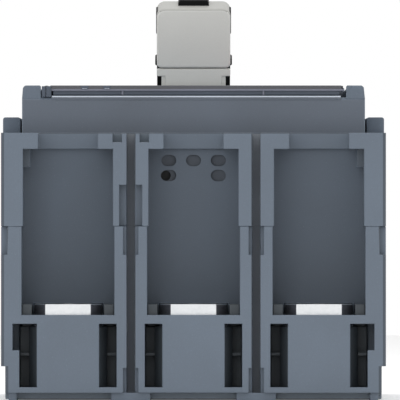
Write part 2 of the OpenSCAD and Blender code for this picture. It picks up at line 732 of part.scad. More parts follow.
module handle_cap() color(cap_grey) tilt() difference() {
  along_y([-cap_t / 2, cap_t / 2]) union() {
    round_rect_between([-handle_w / 2, handle_w / 2], [seam_l, handle_l - 8], 0.8);
    round_rect_between([-handle_w / 2, handle_w / 2], [seam_l + 6, cap_top_l], 2.9);
  }
  slab([-core_half_w + 1.06, core_half_w - 1.06], [-core_t / 2 - 0.04, core_t / 2 + 0.04],
    [seam_l - cut, handle_l - 2.9]);
  slab([-handle_w, handle_w], [-2.54, 2.54], [handle_l - 12.2, handle_l - 3.4]);
  slab([-handle_w, handle_w], [-2.24, 2.24], [seam_l - cut, seam_l + 3.1]);
  slab([-5.65, 5.65], [-tab_t / 2 - 0.05, tab_t / 2 + 0.05], [cap_top_l - 1.65, handle_l + cut]);
}

module handle_shutter() color(black) tilt() difference() {
  along_x([-slot_half_x - 1, slot_half_x + 1]) ring_part(shutter_in_r, shutter_out_r, shutter_half_a);
  slab([-core_half_w - 0.1, core_half_w + 0.1], [-core_t / 2 - 0.1, core_t / 2 + 0.1], [0, handle_l]);
}

module toggle_yoke() color(zinc) tilt() {
  difference() {
    union() {
      both_sides() along_x(yoke_x) {
        circle(5);
        polygon([[-4, 0], [4, 0], [5, yoke_r], [-5, yoke_r]]);
      }
      slab([-yoke_x[1], yoke_x[1]], [-5, 5], [yoke_r - yoke_plate_t, yoke_r]);
      bar_x([0, spring_bar_r], 1.5, [-yoke_x[0] - 0.5, yoke_x[0] + 0.5]);
    }
    bar_x([0, 0], pin_r + running_gap, [-yoke_x[1] - cut, yoke_x[1] + cut]);
  }
}

// Mechanism frame

module side_plate(x) color(zinc) difference() {
  along_x(x) {
    polygon([[bay_y0 + 0.6, trip_axis[1] - 8], [rotor_y - rod_circle_r - rod_r - 2, parting_z],
      [rotor_y - rod_circle_r - rod_r - 2, parting_z + 3],
      [rotor_y + rod_circle_r + rod_r + 2, parting_z + 3],
        [rotor_y + rod_circle_r + rod_r + 2, parting_z], [bay_y1 - 4, parting_z],
      [bay_y1 - 4, pivot_z + 22], [pivot_y + 16, pivot_z + 34], [pivot_y - 18, pivot_z + 34],
        [bay_y0 + 0.6, trip_axis[1] + 10]]);
  }
  for (p = [spacer_1, spacer_2, cradle_pivot, latch_pivot, [pivot_y, pivot_z]])
    bar_x(p, pin_r + 0.02, [x[0] - cut, x[1] + cut]);
  bar_x(trip_axis, 1.5 + running_gap, [x[0] - cut, x[1] + cut]);
  // Lightening window
  along_x([x[0] - cut, x[1] + cut]) round_rect_between([pivot_y - 14, pivot_y + 14],
    [pivot_z + 20, pivot_z + 28], 3);
}

module frame_spacers() color(zinc) {
  for (p = [spacer_1, spacer_2]) {
    bar_x(p, pin_r, [-side_plate_x[1], side_plate_x[1]]);
    bar_x(p, 2.5, [-side_plate_x[0] + 0.02, side_plate_x[0] - 0.02]);
  }
  for (p = [cradle_pivot, latch_pivot]) bar_x(p, pin_r, [-side_plate_x[1], side_plate_x[1]]);
  both_sides() bar_x([pivot_y, pivot_z], pin_r, [yoke_x[0], side_plate_x[1]]);
}

module cradle() color(zinc) difference() {
  union() {
    both_sides() along_x(cradle_x) {
      link_outline([cradle_pin_y, cradle_pin_z], cradle_pivot, 4.5, 4.5, 7);
      link_outline([cradle_pin_y, cradle_pin_z], cradle_tip, 4.5, 1.8, 3);
    }
    slab([-cradle_x[1], cradle_x[1]], [cradle_tip[0] - 1.5, cradle_tip[0] + 1.5],
      [cradle_tip[1] - 1.5, cradle_tip[1] + 1.5]);
    both_sides() bar_x(cradle_pivot, 4, [cradle_x[1], side_plate_x[0] - 0.1]);
  }
  bar_x(cradle_pivot, pin_r + 0.02, [-bay_half - 1, bay_half + 1]);
  bar_x([cradle_pin_y, cradle_pin_z], pin_r + 0.02, [-bay_half, bay_half]);
}

module cradle_pin() color(zinc) both_sides()
  bar_x([cradle_pin_y, cradle_pin_z], pin_r, [upper_link_x[0] - 0.2, cradle_x[1]]);

module upper_links() color(zinc) both_sides() difference() {
  along_x(upper_link_x) link_outline([cradle_pin_y, cradle_pin_z], knee_off, 4.2, 4.2, 6);
  bar_x([cradle_pin_y, cradle_pin_z], pin_r + running_gap, [0, bay_half]);
  bar_x(knee_off, pin_r + 0.02, [0, bay_half]);
}

module lower_links() color(zinc) both_sides() difference() {
  along_x(lower_link_x) link_outline(knee_off, rod_off, 4.2, 4.6, 6);
  bar_x(knee_off, pin_r + running_gap, [0, bay_half]);
  bar_x(rod_off, rod_r + open_pivot_gap, [0, bay_half]);
}

module knee_pin() color(zinc) bar_x(knee_off, pin_r, [-upper_link_x[1] - 0.1, upper_link_x[1] + 0.1]);

// The two springs hang between the yoke's bar and the knee pin
module mechanism_springs() color(zinc) {
  bar_at = [pivot_y, pivot_z] + spring_bar_r * [-sin(handle_swing / 2), cos(handle_swing / 2)];
  reach = knee_off - bar_at;
  angle = atan2(reach[1], reach[0]);
  for (s = [-1, 1]) translate([5.3 * s, bar_at[0], bar_at[1]]) rotate([angle - 90, 0, 0])
    translate([0, 0, 1.7]) coil(3, 0.55, norm(reach) - 3.9, 9);
}

module latch() color(zinc) difference() {
  along_x([-5, 5]) union() {
    translate(latch_pivot) circle(3.6);
    polygon([latch_pivot + [-3, 0], latch_pivot + [2, 0], latch_pivot + [1.6, 7.4], latch_pivot + [7, 7.4],
      latch_pivot + [7, 9.2], latch_pivot + [-1.6, 9.2]]);
  }
  bar_x(latch_pivot, pin_r + running_gap, [-bay_half, bay_half]);
}

module trip_bar() color(black) {
  bar_x(trip_axis, 2.3, [-side_plate_x[0] + 0.3, side_plate_x[0] - 0.3]);
  bar_x(trip_axis, 1.5, [-side_plate_x[1] + 0.1, side_plate_x[1] - 0.1]);
  // Arm under the trip button, and arm before the release plunger
  slab([button_at[0] - 1.5, button_at[0] + 1.5], [trip_axis[0] - 1, button_at[1] + 1.2],
    [arm_z, arm_z + 1.5]);
  slab([button_at[0] - 1.5, button_at[0] + 1.5], [trip_axis[0] - 1, trip_axis[0] + 1],
    [trip_axis[1], arm_z + 1.5]);
  slab([solenoid_at[0] - 2, solenoid_at[0] + 2], [trip_axis[0] - 1, trip_axis[0] + 1],
    [trip_axis[1], solenoid_at[1] + 1.2]);
}

// Trip button and its spring

module trip_button() color([0.75, 0.12, 0.10]) translate([button_at[0], button_at[1], 0]) {
  translate([0, 0, rail_z - 1.8]) cylinder(r = button_r, h = 1.4);
  translate([0, 0, rail_z - 2.6]) cylinder(r = 2.3, h = 1);
  translate([0, 0, arm_z + 4]) cylinder(r = button_stem_r, h = rail_z - 3 - arm_z);
  translate([0, 0, arm_z + 2.1]) cylinder(r = 0.8, h = 3);
}

module button_spring() color(zinc)
  translate([button_at[0], button_at[1], button_floor_z])
    coil(2.3, 0.25, rail_z - 2.65 - button_floor_z, 4);

// Rotor, drawn in the on position and turned to off

module rotor_turn() {
  translate([0, rotor_y, rotor_z]) rotate([contact_swing, 0, 0]) children();
}

module rotor_drum(i) color(black) translate([i * pole_pitch, 0, 0]) rotor_turn() difference() {
  union() {
    bar_x([0, 0], drum_r, [-drum_half, drum_half]);
    bar_x([0, 0], journal_r, [-cheek_out_x + 0.2, cheek_out_x - 0.2]);
  }
  slab([-bridge_w / 2 - 0.25, bridge_w / 2 + 0.25], [-drum_r - cut, drum_r + cut],
    [-bridge_t / 2 - 0.25, bridge_t / 2 + 0.25]);
  // Mouths of the bridge slot, opened so that the bridge can spring
  for (s = [-1, 1]) along_x([-bridge_w / 2 - 0.25, bridge_w / 2 + 0.25])
    polygon([[s * 9, -3], [s * 9, 3], [s * (drum_r + 1), 5.6], [s * (drum_r + 1), -5.6]]);
  // Seats of the rods, on both sides of the bridge
  both_sides() for (s = [0, 180])
    bar_x(rod_circle_r * [cos(rod_angle_on + s), sin(rod_angle_on + s)], rod_r + 0.02,
      [rod_seat_x, drum_w]);
  // Pockets of the contact springs
  for (s = [-1, 1]) bar_x([0, 10.6 * s], 2.2, [-drum_w, drum_w]);
}

// Two rods join each drum to the next one
module rotor_rods() color(zinc) rotor_turn() both_sides()
  for (s = [0, 180]) bar_x(rod_circle_r * [cos(rod_angle_on + s), sin(rod_angle_on + s)], rod_r,
    [rod_seat_x + 0.1, pole_pitch - rod_seat_x - 0.1]);

module contact_bridge(i) color(copper) translate([i * pole_pitch, 0, 0]) rotor_turn() difference() {
  translate([0, 0, -bridge_t / 2]) linear_extrude(bridge_t) round_rect(bridge_w, 2 * bridge_reach, 2);
  // Thinner waist between drum and tips
  for (s = [-1, 1], u = [-1, 1]) slab([u < 0 ? -bridge_w : bridge_w / 2 - 1.2,
    u < 0 ? -bridge_w / 2 + 1.2 : bridge_w],
    [s < 0 ? -pad_x + 5 : drum_r + 2, s < 0 ? -drum_r - 2 : pad_x - 5], [-bridge_t, bridge_t]);
}

module moving_contact_tips() color(silver_plate) each_pole() rotor_turn() for (s = [-1, 1])
  slab([-bridge_w / 2 + 1, bridge_w / 2 - 1], [s * pad_x - 3.5, s * pad_x + 3.5],
    [s > 0 ? -bridge_t / 2 - tip_t : bridge_t / 2, s > 0 ? -bridge_t / 2 : bridge_t / 2 + tip_t]);

// Conductors

// Turn and contact pad, measured from the rotor axis; the turn faces the drum
module loop_profile() {
  intersection() {
    difference() {
      translate([loop_y, loop_z]) circle(loop_r);
      translate([loop_y, loop_z]) circle(turn_in_r);
    }
    translate([loop_y - loop_r - cut, loop_z - loop_r - cut]) square([loop_r + cut, 2 * loop_r + 2 * cut]);
  }
  translate([loop_y, loop_top - conductor_t]) square([pad_x + 6 - loop_y, conductor_t]);
}

// Terminal end of a conductor, drawn at the load end, with its bolt hole and bevelled corners
module terminal_bar(y_in) difference() {
  translate([0, 0, terminal_bottom_z]) linear_extrude(terminal_t)
    polygon([[-terminal_w / 2, -y_in], [-terminal_w / 2, -terminal_end_y + 4],
      [-terminal_w / 2 + 4, -terminal_end_y],
      [terminal_w / 2 - 4, -terminal_end_y], [terminal_w / 2, -terminal_end_y + 4],
        [terminal_w / 2, -y_in]]);
  translate([0, -terminal_bolt_y, terminal_bottom_z - cut])
    cylinder(r = terminal_hole_r, h = terminal_t + 2 * cut);
}

module line_conductor(i) color(silver_plate) translate([i * pole_pitch, 0, 0]) {
  mirror([0, 1, 0]) terminal_bar(bay_end_y - 6);
  translate([0, rotor_y, rotor_z]) along_x([-conductor_w / 2, conductor_w / 2]) {
    loop_profile();
    translate([loop_y, loop_bottom]) square([bay_end_y - 5 - rotor_y - loop_y, conductor_t]);
  }
}

module load_conductor(i) color(silver_plate) translate([i * pole_pitch, 0, 0]) {
  terminal_bar(-leg_y);
  translate([0, rotor_y, rotor_z]) along_x([-conductor_w / 2, conductor_w / 2]) rotate(180) {
    loop_profile();
    translate([loop_y, loop_bottom]) square([rotor_y - leg_y - loop_y, conductor_t]);
  }
  slab([-conductor_w / 2, conductor_w / 2], [leg_y, leg_y + conductor_t],
    [terminal_bottom_z, rotor_z - loop_bottom]);
  slab([-conductor_w / 2, conductor_w / 2], [leg_y - 1, leg_y + conductor_t],
    [terminal_bottom_z, terminal_z]);
}

module fixed_contact_tips() color(silver_plate) each_pole() translate([0, rotor_y, rotor_z])
  for (s = [-1, 1])
  slab([-bridge_w / 2, bridge_w / 2], [s * pad_x - 4, s * pad_x + 4],
    [s > 0 ? -pad_h : pad_h - tip_t, s > 0 ? -pad_h + tip_t : pad_h]);

// Arc chambers

// One splitter plate of the line chute, with the notch that the contact passes
module splitter(z) translate([0, rotor_y, rotor_z + z]) linear_extrude(splitter_t) difference() {
  translate([-cheek_in_x + 0.1, chute_in]) square([2 * cheek_in_x - 0.2, chute_out - chute_in]);
  polygon([[-bridge_w / 2 - 3.5, chute_in - cut], [bridge_w / 2 + 3.5, chute_in - cut],
    [bridge_w / 2 + 2.5, chute_in + 5],
    [2, chute_in + 16], [-2, chute_in + 16], [-bridge_w / 2 - 2.5, chute_in + 5]]);
}

module arc_plates(i) color([0.45, 0.46, 0.47]) translate([i * pole_pitch, 0, 0]) {
  for (k = [0:splitters - 1]) {
    splitter(chute_z0 + k * splitter_pitch);
    translate([0, 2 * rotor_y, 2 * rotor_z]) rotate([180, 0, 0]) splitter(chute_z0 + k * splitter_pitch);
  }
}

module pole_cheeks(i) color(brown) translate([i * pole_pitch, 0, 0]) both_sides() difference() {
  along_x([cheek_in_x, cheek_out_x]) difference() {
    polygon([[-60, floor_z], [bay_end_y - 7, floor_z], [bay_end_y - 7, rotor_z + 27],
      [rotor_y + chute_in - 2, rotor_z + 27],
      [rotor_y + chute_in - 2, parting_z - 0.8], [-60, parting_z - 0.8]]);
    translate([rotor_y, rotor_z]) {
      circle(journal_r + running_gap);
      for (s = [0, 180]) arc_slot(rod_circle_r, rod_r + 0.4, rod_angle_on + s, rod_angle_off + s);
    }
  }
}

// Terminal nuts and keepers

module terminal_nuts() color(zinc) both_ends() each_pole()
  translate([0, -terminal_bolt_y, keeper_top_z - nut_h]) difference() {
  cylinder(r = nut_af / sqrt(3), h = nut_h, $fn = 6);
  translate([0, 0, -cut]) cylinder(r = terminal_hole_r - 0.5, h = nut_h + 2 * cut);
}

module nut_keeper() difference() {
  union() {
    translate([0, 0, well_floor_z + seat_gap]) linear_extrude(keeper_top_z - well_floor_z - seat_gap)
      polygon([[-slot_in_x, -terminal_end_y], [slot_in_x, -terminal_end_y],
        [slot_in_x + 2.7, -terminal_end_y + 6],
        [slot_in_x + 2.7, -end_y - 0.3], [-slot_in_x - 2.7, -end_y - 0.3],
          [-slot_in_x - 2.7, -terminal_end_y + 6]]);
    both_sides() {
      // Rib to the wall of the well, and the ear beside the bar
      slab([slot_in_x, nut_well_half - 0.15], [-half_l + 16, -end_y - 0.3],
        [well_floor_z + seat_gap, keeper_top_z]);
      slab([slot_in_x + 2, nut_well_half - 0.15], [-half_l + 10, -half_l + 17],
        [well_floor_z + 11.2, well_floor_z + 12.4]);
      slab([terminal_w / 2 + ear_gap, base_chamber_half - 0.1], [-terminal_end_y, -end_y - 0.3],
        [slot_top_z + 0.3, terminal_z - 0.1]);
      slab([terminal_w / 2 + ear_gap, base_chamber_half - 0.1], [-half_l + 16.5, -end_y - 0.3],
        [keeper_top_z - 1.5, slot_top_z + 0.8]);
    }
  }
  translate([0, -terminal_bolt_y, keeper_top_z - nut_h - 0.1])
    cylinder(r = nut_af / sqrt(3) + 0.15, h = nut_h + 1, $fn = 6);
  translate([0, -terminal_bolt_y, well_floor_z - cut]) cylinder(r = terminal_hole_r + 0.5, h = 30);
}

module nut_keepers() color(brown) both_ends() each_pole() nut_keeper();

// Trip unit

module trip_unit_case() color(black) difference() {
  union() {
    difference() {
      slab([-trip_w / 2, trip_w / 2], trip_y, trip_z);
      slab([-trip_w / 2 + trip_wall, trip_w / 2 - trip_wall],
        [trip_y[0] + trip_wall, trip_y[1] - trip_wall], [trip_z[0] + trip_wall, trip_z[1] + cut]);
    }
    // Posts under the circuit board
    for (x = [-0.42, 0.42], y = [trip_y[0] + 5, trip_y[1] - 5])
      translate([x * trip_w, y, trip_z[0] + cut]) cylinder(r = 2.5, h = board_z - trip_z[0] - cut);
  }
  bar_y([solenoid_at[0], solenoid_at[1]], plunger_r + 0.3, [trip_y[1] - trip_wall - cut, trip_y[1] + cut]);
}

module trip_unit_lid() color([0.30, 0.32, 0.34]) difference() {
  union() {
    slab([-trip_w / 2 + trip_wall + 0.15, trip_w / 2 - trip_wall - 0.15],
      [trip_y[0] + trip_wall + 0.15, trip_y[1] - trip_wall - 0.15],
      [trip_z[1] - 2, trip_z[1]]);
    slab([-window_half_x + 0.3, window_half_x - 0.3], [window_y[0] + 0.3, window_y[1] - 0.3],
      [trip_z[1] - 2, front_z - 0.2]);
    // Ribs down to the board
    for (y = [window_y[0] + 6, window_y[1] - 6]) slab([-20, 20], [y - 0.8, y + 0.8],
      [board_z + board_t + seat_gap, trip_z[1] - 1]);
  }
  // Recess of the display, and the seats of the dials
  translate([display_x, dial_y, front_z - 1.4]) linear_extrude(3) round_rect(display_w, display_h, 1);
  for (i = [-1, 0, 1]) translate([dial_x0 + i * dial_pitch, dial_y, 0]) {
    translate([0, 0, front_z - 2.6]) cylinder(r = dial_r + 0.15, h = 5);
    cylinder(r = 1.5 + running_gap, h = front_z + 5);
  }
}

module circuit_board() color([0.10, 0.34, 0.20]) {
  slab([-trip_w / 2 + trip_wall + 0.3, trip_w / 2 - trip_wall - 0.3],
    [trip_y[0] + trip_wall + 0.3, trip_y[1] - trip_wall - 0.3], [board_z, board_z + board_t]);
  // Driver of the display, and the capacitor below
  slab([display_x - 8, display_x + 12], [dial_y - 12, dial_y - 8.5],
    [board_z + board_t, board_z + board_t + 3]);
  slab([-trip_w / 2 + 11.6, -trip_w / 2 + 23.6], [dial_y - 10, dial_y + 6], [board_z - 8, board_z]);
}

module dial(i) color(cap_grey) translate([dial_x0 + i * dial_pitch, dial_y, 0]) difference() {
  union() {
    translate([0, 0, front_z - 2.5]) cylinder(r = dial_r, h = 2.7);
    translate([0, 0, board_z + board_t + seat_gap]) cylinder(r = 1.5, h = front_z - 2 - board_z - board_t);
  }
  slab([-0.5, 0.5], [-3.6, 3.6], [front_z - 0.9, front_z + 1]);
  translate([0, 4.4, front_z - 0.5]) cylinder(r = 0.4, h = 2);
}

module release_solenoid() color(copper) difference() {
  union() {
    bar_y([solenoid_at[0], solenoid_at[1]], solenoid_r, [trip_y[1] - 22, trip_y[1] - trip_wall - 0.1]);
    slab([solenoid_at[0] - 4, solenoid_at[0] + 4], [trip_y[1] - 23, trip_y[1] - 21.5],
      [solenoid_at[1] - 3.7, solenoid_at[1] + 4]);
  }
  bar_y([solenoid_at[0], solenoid_at[1]], plunger_r + running_gap, [trip_y[1] - 12, trip_y[1]]);
}

module release_plunger() color(zinc)
  bar_y([solenoid_at[0], solenoid_at[1]], plunger_r, [trip_y[1] - 11,
    trip_axis[0] - 1 - plunger_travel - 0.3]);

// Current transformer round the load conductor
module current_transformer(i) color([0.20, 0.22, 0.24]) translate([i * pole_pitch, 0, 0]) difference() {
  along_y(transformer_y) translate([0, transformer_z]) difference() {
    round_rect(2 * bay_half - 1.6, transformer_h, 4);
    round_rect(terminal_w + 1.6, terminal_t + 1.6, 1);
  }
  for (s = [-1, 1]) bar_y([s * (bay_half - 3.5), transformer_z], 1.4,
    [transformer_y[0] - cut, transformer_y[1] + cut]);
}

base_housing();
main_cover();
accessory_cover();
flap_hinge_pins();
cover_screws();
toggle_lever();
handle_sleeve();
handle_cap();
handle_shutter();
toggle_yoke();
side_plate([-side_plate_x[1], -side_plate_x[0]]);  // side_plate_left
side_plate(side_plate_x);  // side_plate_right
frame_spacers();
cradle();
cradle_pin();
upper_links();
lower_links();
knee_pin();
mechanism_springs();
latch();
trip_bar();
trip_button();
button_spring();
rotor_drum(-1);  // rotor_drum_1
rotor_drum(0);  // rotor_drum_2
rotor_drum(1);  // rotor_drum_3
rotor_rods();
contact_bridge(-1);  // contact_bridge_1
contact_bridge(0);  // contact_bridge_2
contact_bridge(1);  // contact_bridge_3
moving_contact_tips();
line_conductor(-1);  // line_conductor_1
line_conductor(0);  // line_conductor_2
line_conductor(1);  // line_conductor_3
load_conductor(-1);  // load_conductor_1
load_conductor(0);  // load_conductor_2
load_conductor(1);  // load_conductor_3
fixed_contact_tips();
arc_plates(-1);  // arc_plates_1
arc_plates(0);  // arc_plates_2
arc_plates(1);  // arc_plates_3
pole_cheeks(-1);  // pole_cheeks_1
pole_cheeks(0);  // pole_cheeks_2
pole_cheeks(1);  // pole_cheeks_3
terminal_nuts();
nut_keepers();
trip_unit_case();
trip_unit_lid();
circuit_board();
release_solenoid();
release_plunger();
current_transformer(-1);  // current_transformer_1
current_transformer(0);  // current_transformer_2
current_transformer(1);  // current_transformer_3
dial(-1);  // dial_1
dial(0);  // dial_2
dial(1);  // dial_3
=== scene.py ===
"""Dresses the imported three-pole circuit breaker for a plain studio picture of its load end."""
import logging
import math
from collections.abc import Callable, Sequence
from dataclasses import dataclass
from enum import Enum

import bmesh
import bpy
from mathutils import Matrix, Vector


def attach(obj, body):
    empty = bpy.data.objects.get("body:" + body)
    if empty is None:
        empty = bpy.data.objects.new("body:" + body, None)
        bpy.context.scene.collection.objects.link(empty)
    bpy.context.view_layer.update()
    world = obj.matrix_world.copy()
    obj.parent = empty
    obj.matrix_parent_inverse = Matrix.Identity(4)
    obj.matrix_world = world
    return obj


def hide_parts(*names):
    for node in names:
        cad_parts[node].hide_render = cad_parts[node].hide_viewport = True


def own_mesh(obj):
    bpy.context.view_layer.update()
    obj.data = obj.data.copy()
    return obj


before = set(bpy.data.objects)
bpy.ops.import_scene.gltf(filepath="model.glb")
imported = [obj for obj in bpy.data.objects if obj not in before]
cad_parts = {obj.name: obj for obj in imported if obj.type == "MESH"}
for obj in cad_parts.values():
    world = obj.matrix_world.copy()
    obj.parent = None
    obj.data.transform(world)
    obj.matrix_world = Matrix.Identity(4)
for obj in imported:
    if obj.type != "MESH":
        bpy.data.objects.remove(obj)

LOG = logging.getLogger("breaker")
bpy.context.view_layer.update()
# A millimetre in metres. Lengths are in millimetres where nothing else is said
MM = 0.001
BMesh, Material = bmesh.types.BMesh, bpy.types.Material
Tree, Node, Socket = bpy.types.NodeTree, bpy.types.Node, bpy.types.NodeSocket
Pair, Triple = tuple[float, float], tuple[float, float, float]
FLOAT, VECTOR = "NodeSocketFloat", "NodeSocketVector"
# Where most values of a noise texture lie
NOISE_SPAN = (0.3, 0.7)
# Gain and lift of a colour where it is rubbed pale, and where corners are darkened by dust and painted shade
RUBBED, DUSTY_SHADED = (1.5, 0.06), (0.62, 0.02)
# Depth of the moulded skin, of drawn streaks and of copper tracks, in metres
GRAIN_DEPTH, STREAK_DEPTH, TRACK_DEPTH = 0.00002, 0.00001, 0.00004
METAL_EDGE_RADIUS = 0.0003
WHITE, BLACK = (1.0, 1.0, 1.0, 1.0), (0.0, 0.0, 0.0, 1.0)
# Faces that lean apart by less than this are shaded smooth
SMOOTH_BELOW = math.radians(47)
# Edges bent by more than this are rounded, in a CAD mesh and at the rims of a prism
ROUND_ABOVE, RIM_ABOVE = math.radians(40), math.radians(60)
# Corners closer than the weld are one, shorter edges go, and faces that lean less than the angle join
WELD, SLIVER, FLAT_ANGLE = 2e-6, 1e-6, math.radians(0.6)
WASHER_SIDES = 40
POLES = (1, 2, 3)
# A normal with this share along an axis belongs to a face that is square to the axis
SQUARE, VERY_SQUARE = 0.9, 0.95
# Takes a face's middle in millimetres and its normal, and says whether the face is painted
Rule = Callable[[Vector, Vector], bool]


class Body(Enum):
    """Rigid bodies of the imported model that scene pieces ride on."""

    HOUSING = "housing"
    HANDLE = "handle"
    FLAP = "flap"
    BUTTON = "trip_button"
    DIAL_1 = "dial_1"
    DIAL_2 = "dial_2"
    DIAL_3 = "dial_3"


class Axis(Enum):
    """Direction in which an outline is extruded."""

    X = 0
    Y = 1
    Z = 2


class Wiring:
    """Adds nodes to one node tree and joins them."""

    def __init__(self, tree: Tree) -> None:
        """Keeps the node tree of a material, a group or the world."""
        self.tree = tree

    def fill(self, node: Node, values: dict) -> None:
        """Joins sockets to inputs of a node, or sets the inputs.

        Args:
            node: the node.
            values: a socket, number or colour for each name or number of an input.
        """
        for key, value in values.items():
            if isinstance(value, Socket):
                self.tree.links.new(value, node.inputs[key])
            else:
                node.inputs[key].default_value = value

    def add(self, kind: str, values: dict | None = None, **settings: object) -> Node:
        """Adds one node.

        Args:
            kind: the node's type name.
            values: what goes into its inputs.
            settings: attributes to set on the node.

        Returns:
            The new node.
        """
        made = self.tree.nodes.new(kind)
        for name, value in settings.items():
            setattr(made, name, value)
        self.fill(made, values or {})
        return made

    def place(self) -> Socket:
        """Adds the object's own coordinates."""
        return self.add("ShaderNodeTexCoord").outputs["Object"]

    def noise(self, **values: object) -> Socket:
        """Adds a noise texture and gives its value."""
        return self.add("ShaderNodeTexNoise", {"Vector": self.place(), **values}).outputs[0]

    def cells(self, scale: float, irregular: float = 1.0, **settings: str) -> Socket:
        """Adds a Voronoi texture, and gives its distance."""
        values = {"Vector": self.place(), "Scale": scale, "Randomness": irregular}
        return self.add("ShaderNodeTexVoronoi", values, **settings).outputs[0]

    def effect(self, group: Tree, **values: float) -> dict[str, Socket]:
        """Adds a shared shader group and gives its results."""
        return self.add("ShaderNodeGroup", values, node_tree=group).outputs

    def bump(self, shader: Node, depth: float, **values: Socket) -> None:
        """Gives a shader a relief of some depth in metres, from a Height and a Normal."""
        relief = self.add("ShaderNodeBump", {"Distance": depth, **values})
        self.fill(shader, {"Normal": relief.outputs[0]})

    def math(self, operation: str, first: object, second: object) -> Socket:
        """Adds a Math node for two sockets or numbers, and gives its result."""
        return self.add("ShaderNodeMath", {0: first, 1: second}, operation=operation).outputs[0]

    def ramp(self, source: Socket, low: float, high: float,
             out_low: float = 0.0, out_high: float = 1.0) -> Socket:
        """Maps a range of values, from low to high, to another, with both ends held."""
        values = {"Value": source, "From Min": low, "From Max": high, "To Min": out_low, "To Max": out_high}
        return self.add("ShaderNodeMapRange", values, clamp=True).outputs["Result"]

    def blend(self, share: object, first: object, second: object) -> Socket:
        """Mixes a share of the second colour into the first. Each may be a socket."""
        return self.add("ShaderNodeMix", {0: share, 6: first, 7: second}, data_type="RGBA").outputs[2]


def linear(*colour: int) -> tuple[float, ...]:
    """Turns a display's red, green and blue, 0 to 255, into the linear colour that a shader takes."""
    shares = [value / 255 for value in colour]
    return (*(c / 12.92 if c <= 0.04045 else ((c + 0.055) / 1.055) ** 2.4 for c in shares), 1.0)


class EffectLibrary:
    """Shader groups that several finishes share, each built once."""

    def __init__(self) -> None:
        """Builds every group."""
        self.mould_grain = self._mould_grain()
        self.edge_rub = self._edge_rub()
        self.corner_dust = self._corner_dust()
        self.drawn_metal = self._drawn_metal()

    @staticmethod
    def _start(name: str, inputs: dict[str, float], outputs: dict[str, str]) -> tuple:
        """Makes an empty group with its sockets.

        Args:
            name: the group's name.
            inputs: the value sockets and what they start with.
            outputs: the result sockets and their kinds.

        Returns:
            The wiring, the sockets that come in and the node that takes the results.
        """
        tree = bpy.data.node_groups.new(name, "ShaderNodeTree")
        for label, value in inputs.items():
            made = tree.interface.new_socket(name=label, in_out="INPUT", socket_type=FLOAT)
            made.default_value = value
        for label, kind in outputs.items():
            tree.interface.new_socket(name=label, in_out="OUTPUT", socket_type=kind)
        wiring = Wiring(tree)
        return wiring, wiring.add("NodeGroupInput").outputs, wiring.add("NodeGroupOutput")

    def _mould_grain(self) -> Tree:
        """Grain of a moulded plastic: cloudy shade, light fibre specks and a fine spark-eroded skin.

        Returns:
            The group, with Shade, Specks and Height.
        """
        wiring, given, result = self._start("mould_grain", {"Cloud Scale": 28.0, "Grain Scale": 2600.0},
                                            {"Shade": FLOAT, "Specks": FLOAT, "Height": FLOAT})
        cloud = wiring.noise(Scale=given["Cloud Scale"], Detail=5.0, Distortion=0.6)
        grain = wiring.noise(Scale=given["Grain Scale"], Detail=2.0)
        specks = wiring.cells(620.0, feature="F1")
        shade = wiring.math("ADD", wiring.math("MULTIPLY", grain, 0.35), wiring.math("MULTIPLY", cloud, 0.65))
        height = wiring.math("ADD", grain, wiring.math("MULTIPLY", cloud, 0.2))
        wiring.fill(result, {"Shade": shade, "Specks": wiring.ramp(specks, 0.13, 0.05), "Height": height})
        return wiring.tree

    def _edge_rub(self) -> Tree:
        """Rounded edges of a moulding: a softened normal, and a mask of where handling has polished them.

        Returns:
            The group, with Mask and Normal.
        """
        wiring, given, result = self._start("edge_rub", {"Radius": 0.0004}, {"Mask": FLOAT, "Normal": VECTOR})
        soft = wiring.add("ShaderNodeBevel", {"Radius": given["Radius"]}, samples=4).outputs[0]
        flat = wiring.add("ShaderNodeNewGeometry").outputs["Normal"]
        dot = wiring.add("ShaderNodeVectorMath", {0: soft, 1: flat}, operation="DOT_PRODUCT")
        patchy = wiring.noise(Scale=210.0, Detail=4.0)
        rim = wiring.ramp(dot.outputs["Value"], 0.995, 0.86)
        mask = wiring.math("MULTIPLY", rim, wiring.ramp(patchy, 0.35, 0.6, 0.35, 1.0))
        wiring.fill(result, {"Mask": mask, "Normal": soft})
        return wiring.tree

    def _corner_dust(self) -> Tree:
        """Darkening of inner corners that ambient occlusion finds: settled dust, and painted corner shade.

        Returns:
            The group, with Mask.
        """
        wiring, given, result = self._start("corner_dust", {"Reach": 0.004}, {"Mask": FLOAT})
        shade = wiring.add("ShaderNodeAmbientOcclusion", {"Distance": given["Reach"]}, samples=6)
        patchy = wiring.noise(Scale=90.0, Detail=6.0)
        # Deep ambient occlusion darkens the colour: dust together with painted corner shade
        deep = wiring.ramp(shade.outputs["AO"], 0.85, 0.35)
        wiring.fill(result, {"Mask": wiring.math("MULTIPLY", deep, wiring.ramp(patchy, 0.3, 0.65))})
        return wiring.tree

    def _drawn_metal(self) -> Tree:
        """Streaks and cloudy tarnish of drawn or plated metal.

        Returns:
            The group, with Shade and Height.
        """
        wiring, given, result = self._start("drawn_metal", {"Streak Scale": 900.0, "Cloud Scale": 60.0},
                                            {"Shade": FLOAT, "Height": FLOAT})
        drawn = wiring.add("ShaderNodeMapping", {"Vector": wiring.place(), "Scale": (1.0, 0.04, 1.0)})
        streaks = wiring.noise(Vector=drawn.outputs[0], Scale=given["Streak Scale"], Detail=3.0)
        cloud = wiring.noise(Scale=given["Cloud Scale"], Detail=4.0)
        mixed = wiring.math("ADD", wiring.math("MULTIPLY", streaks, 0.5), wiring.math("MULTIPLY", cloud, 0.5))
        wiring.fill(result, {"Shade": mixed, "Height": streaks})
        return wiring.tree


EFFECTS = EffectLibrary()


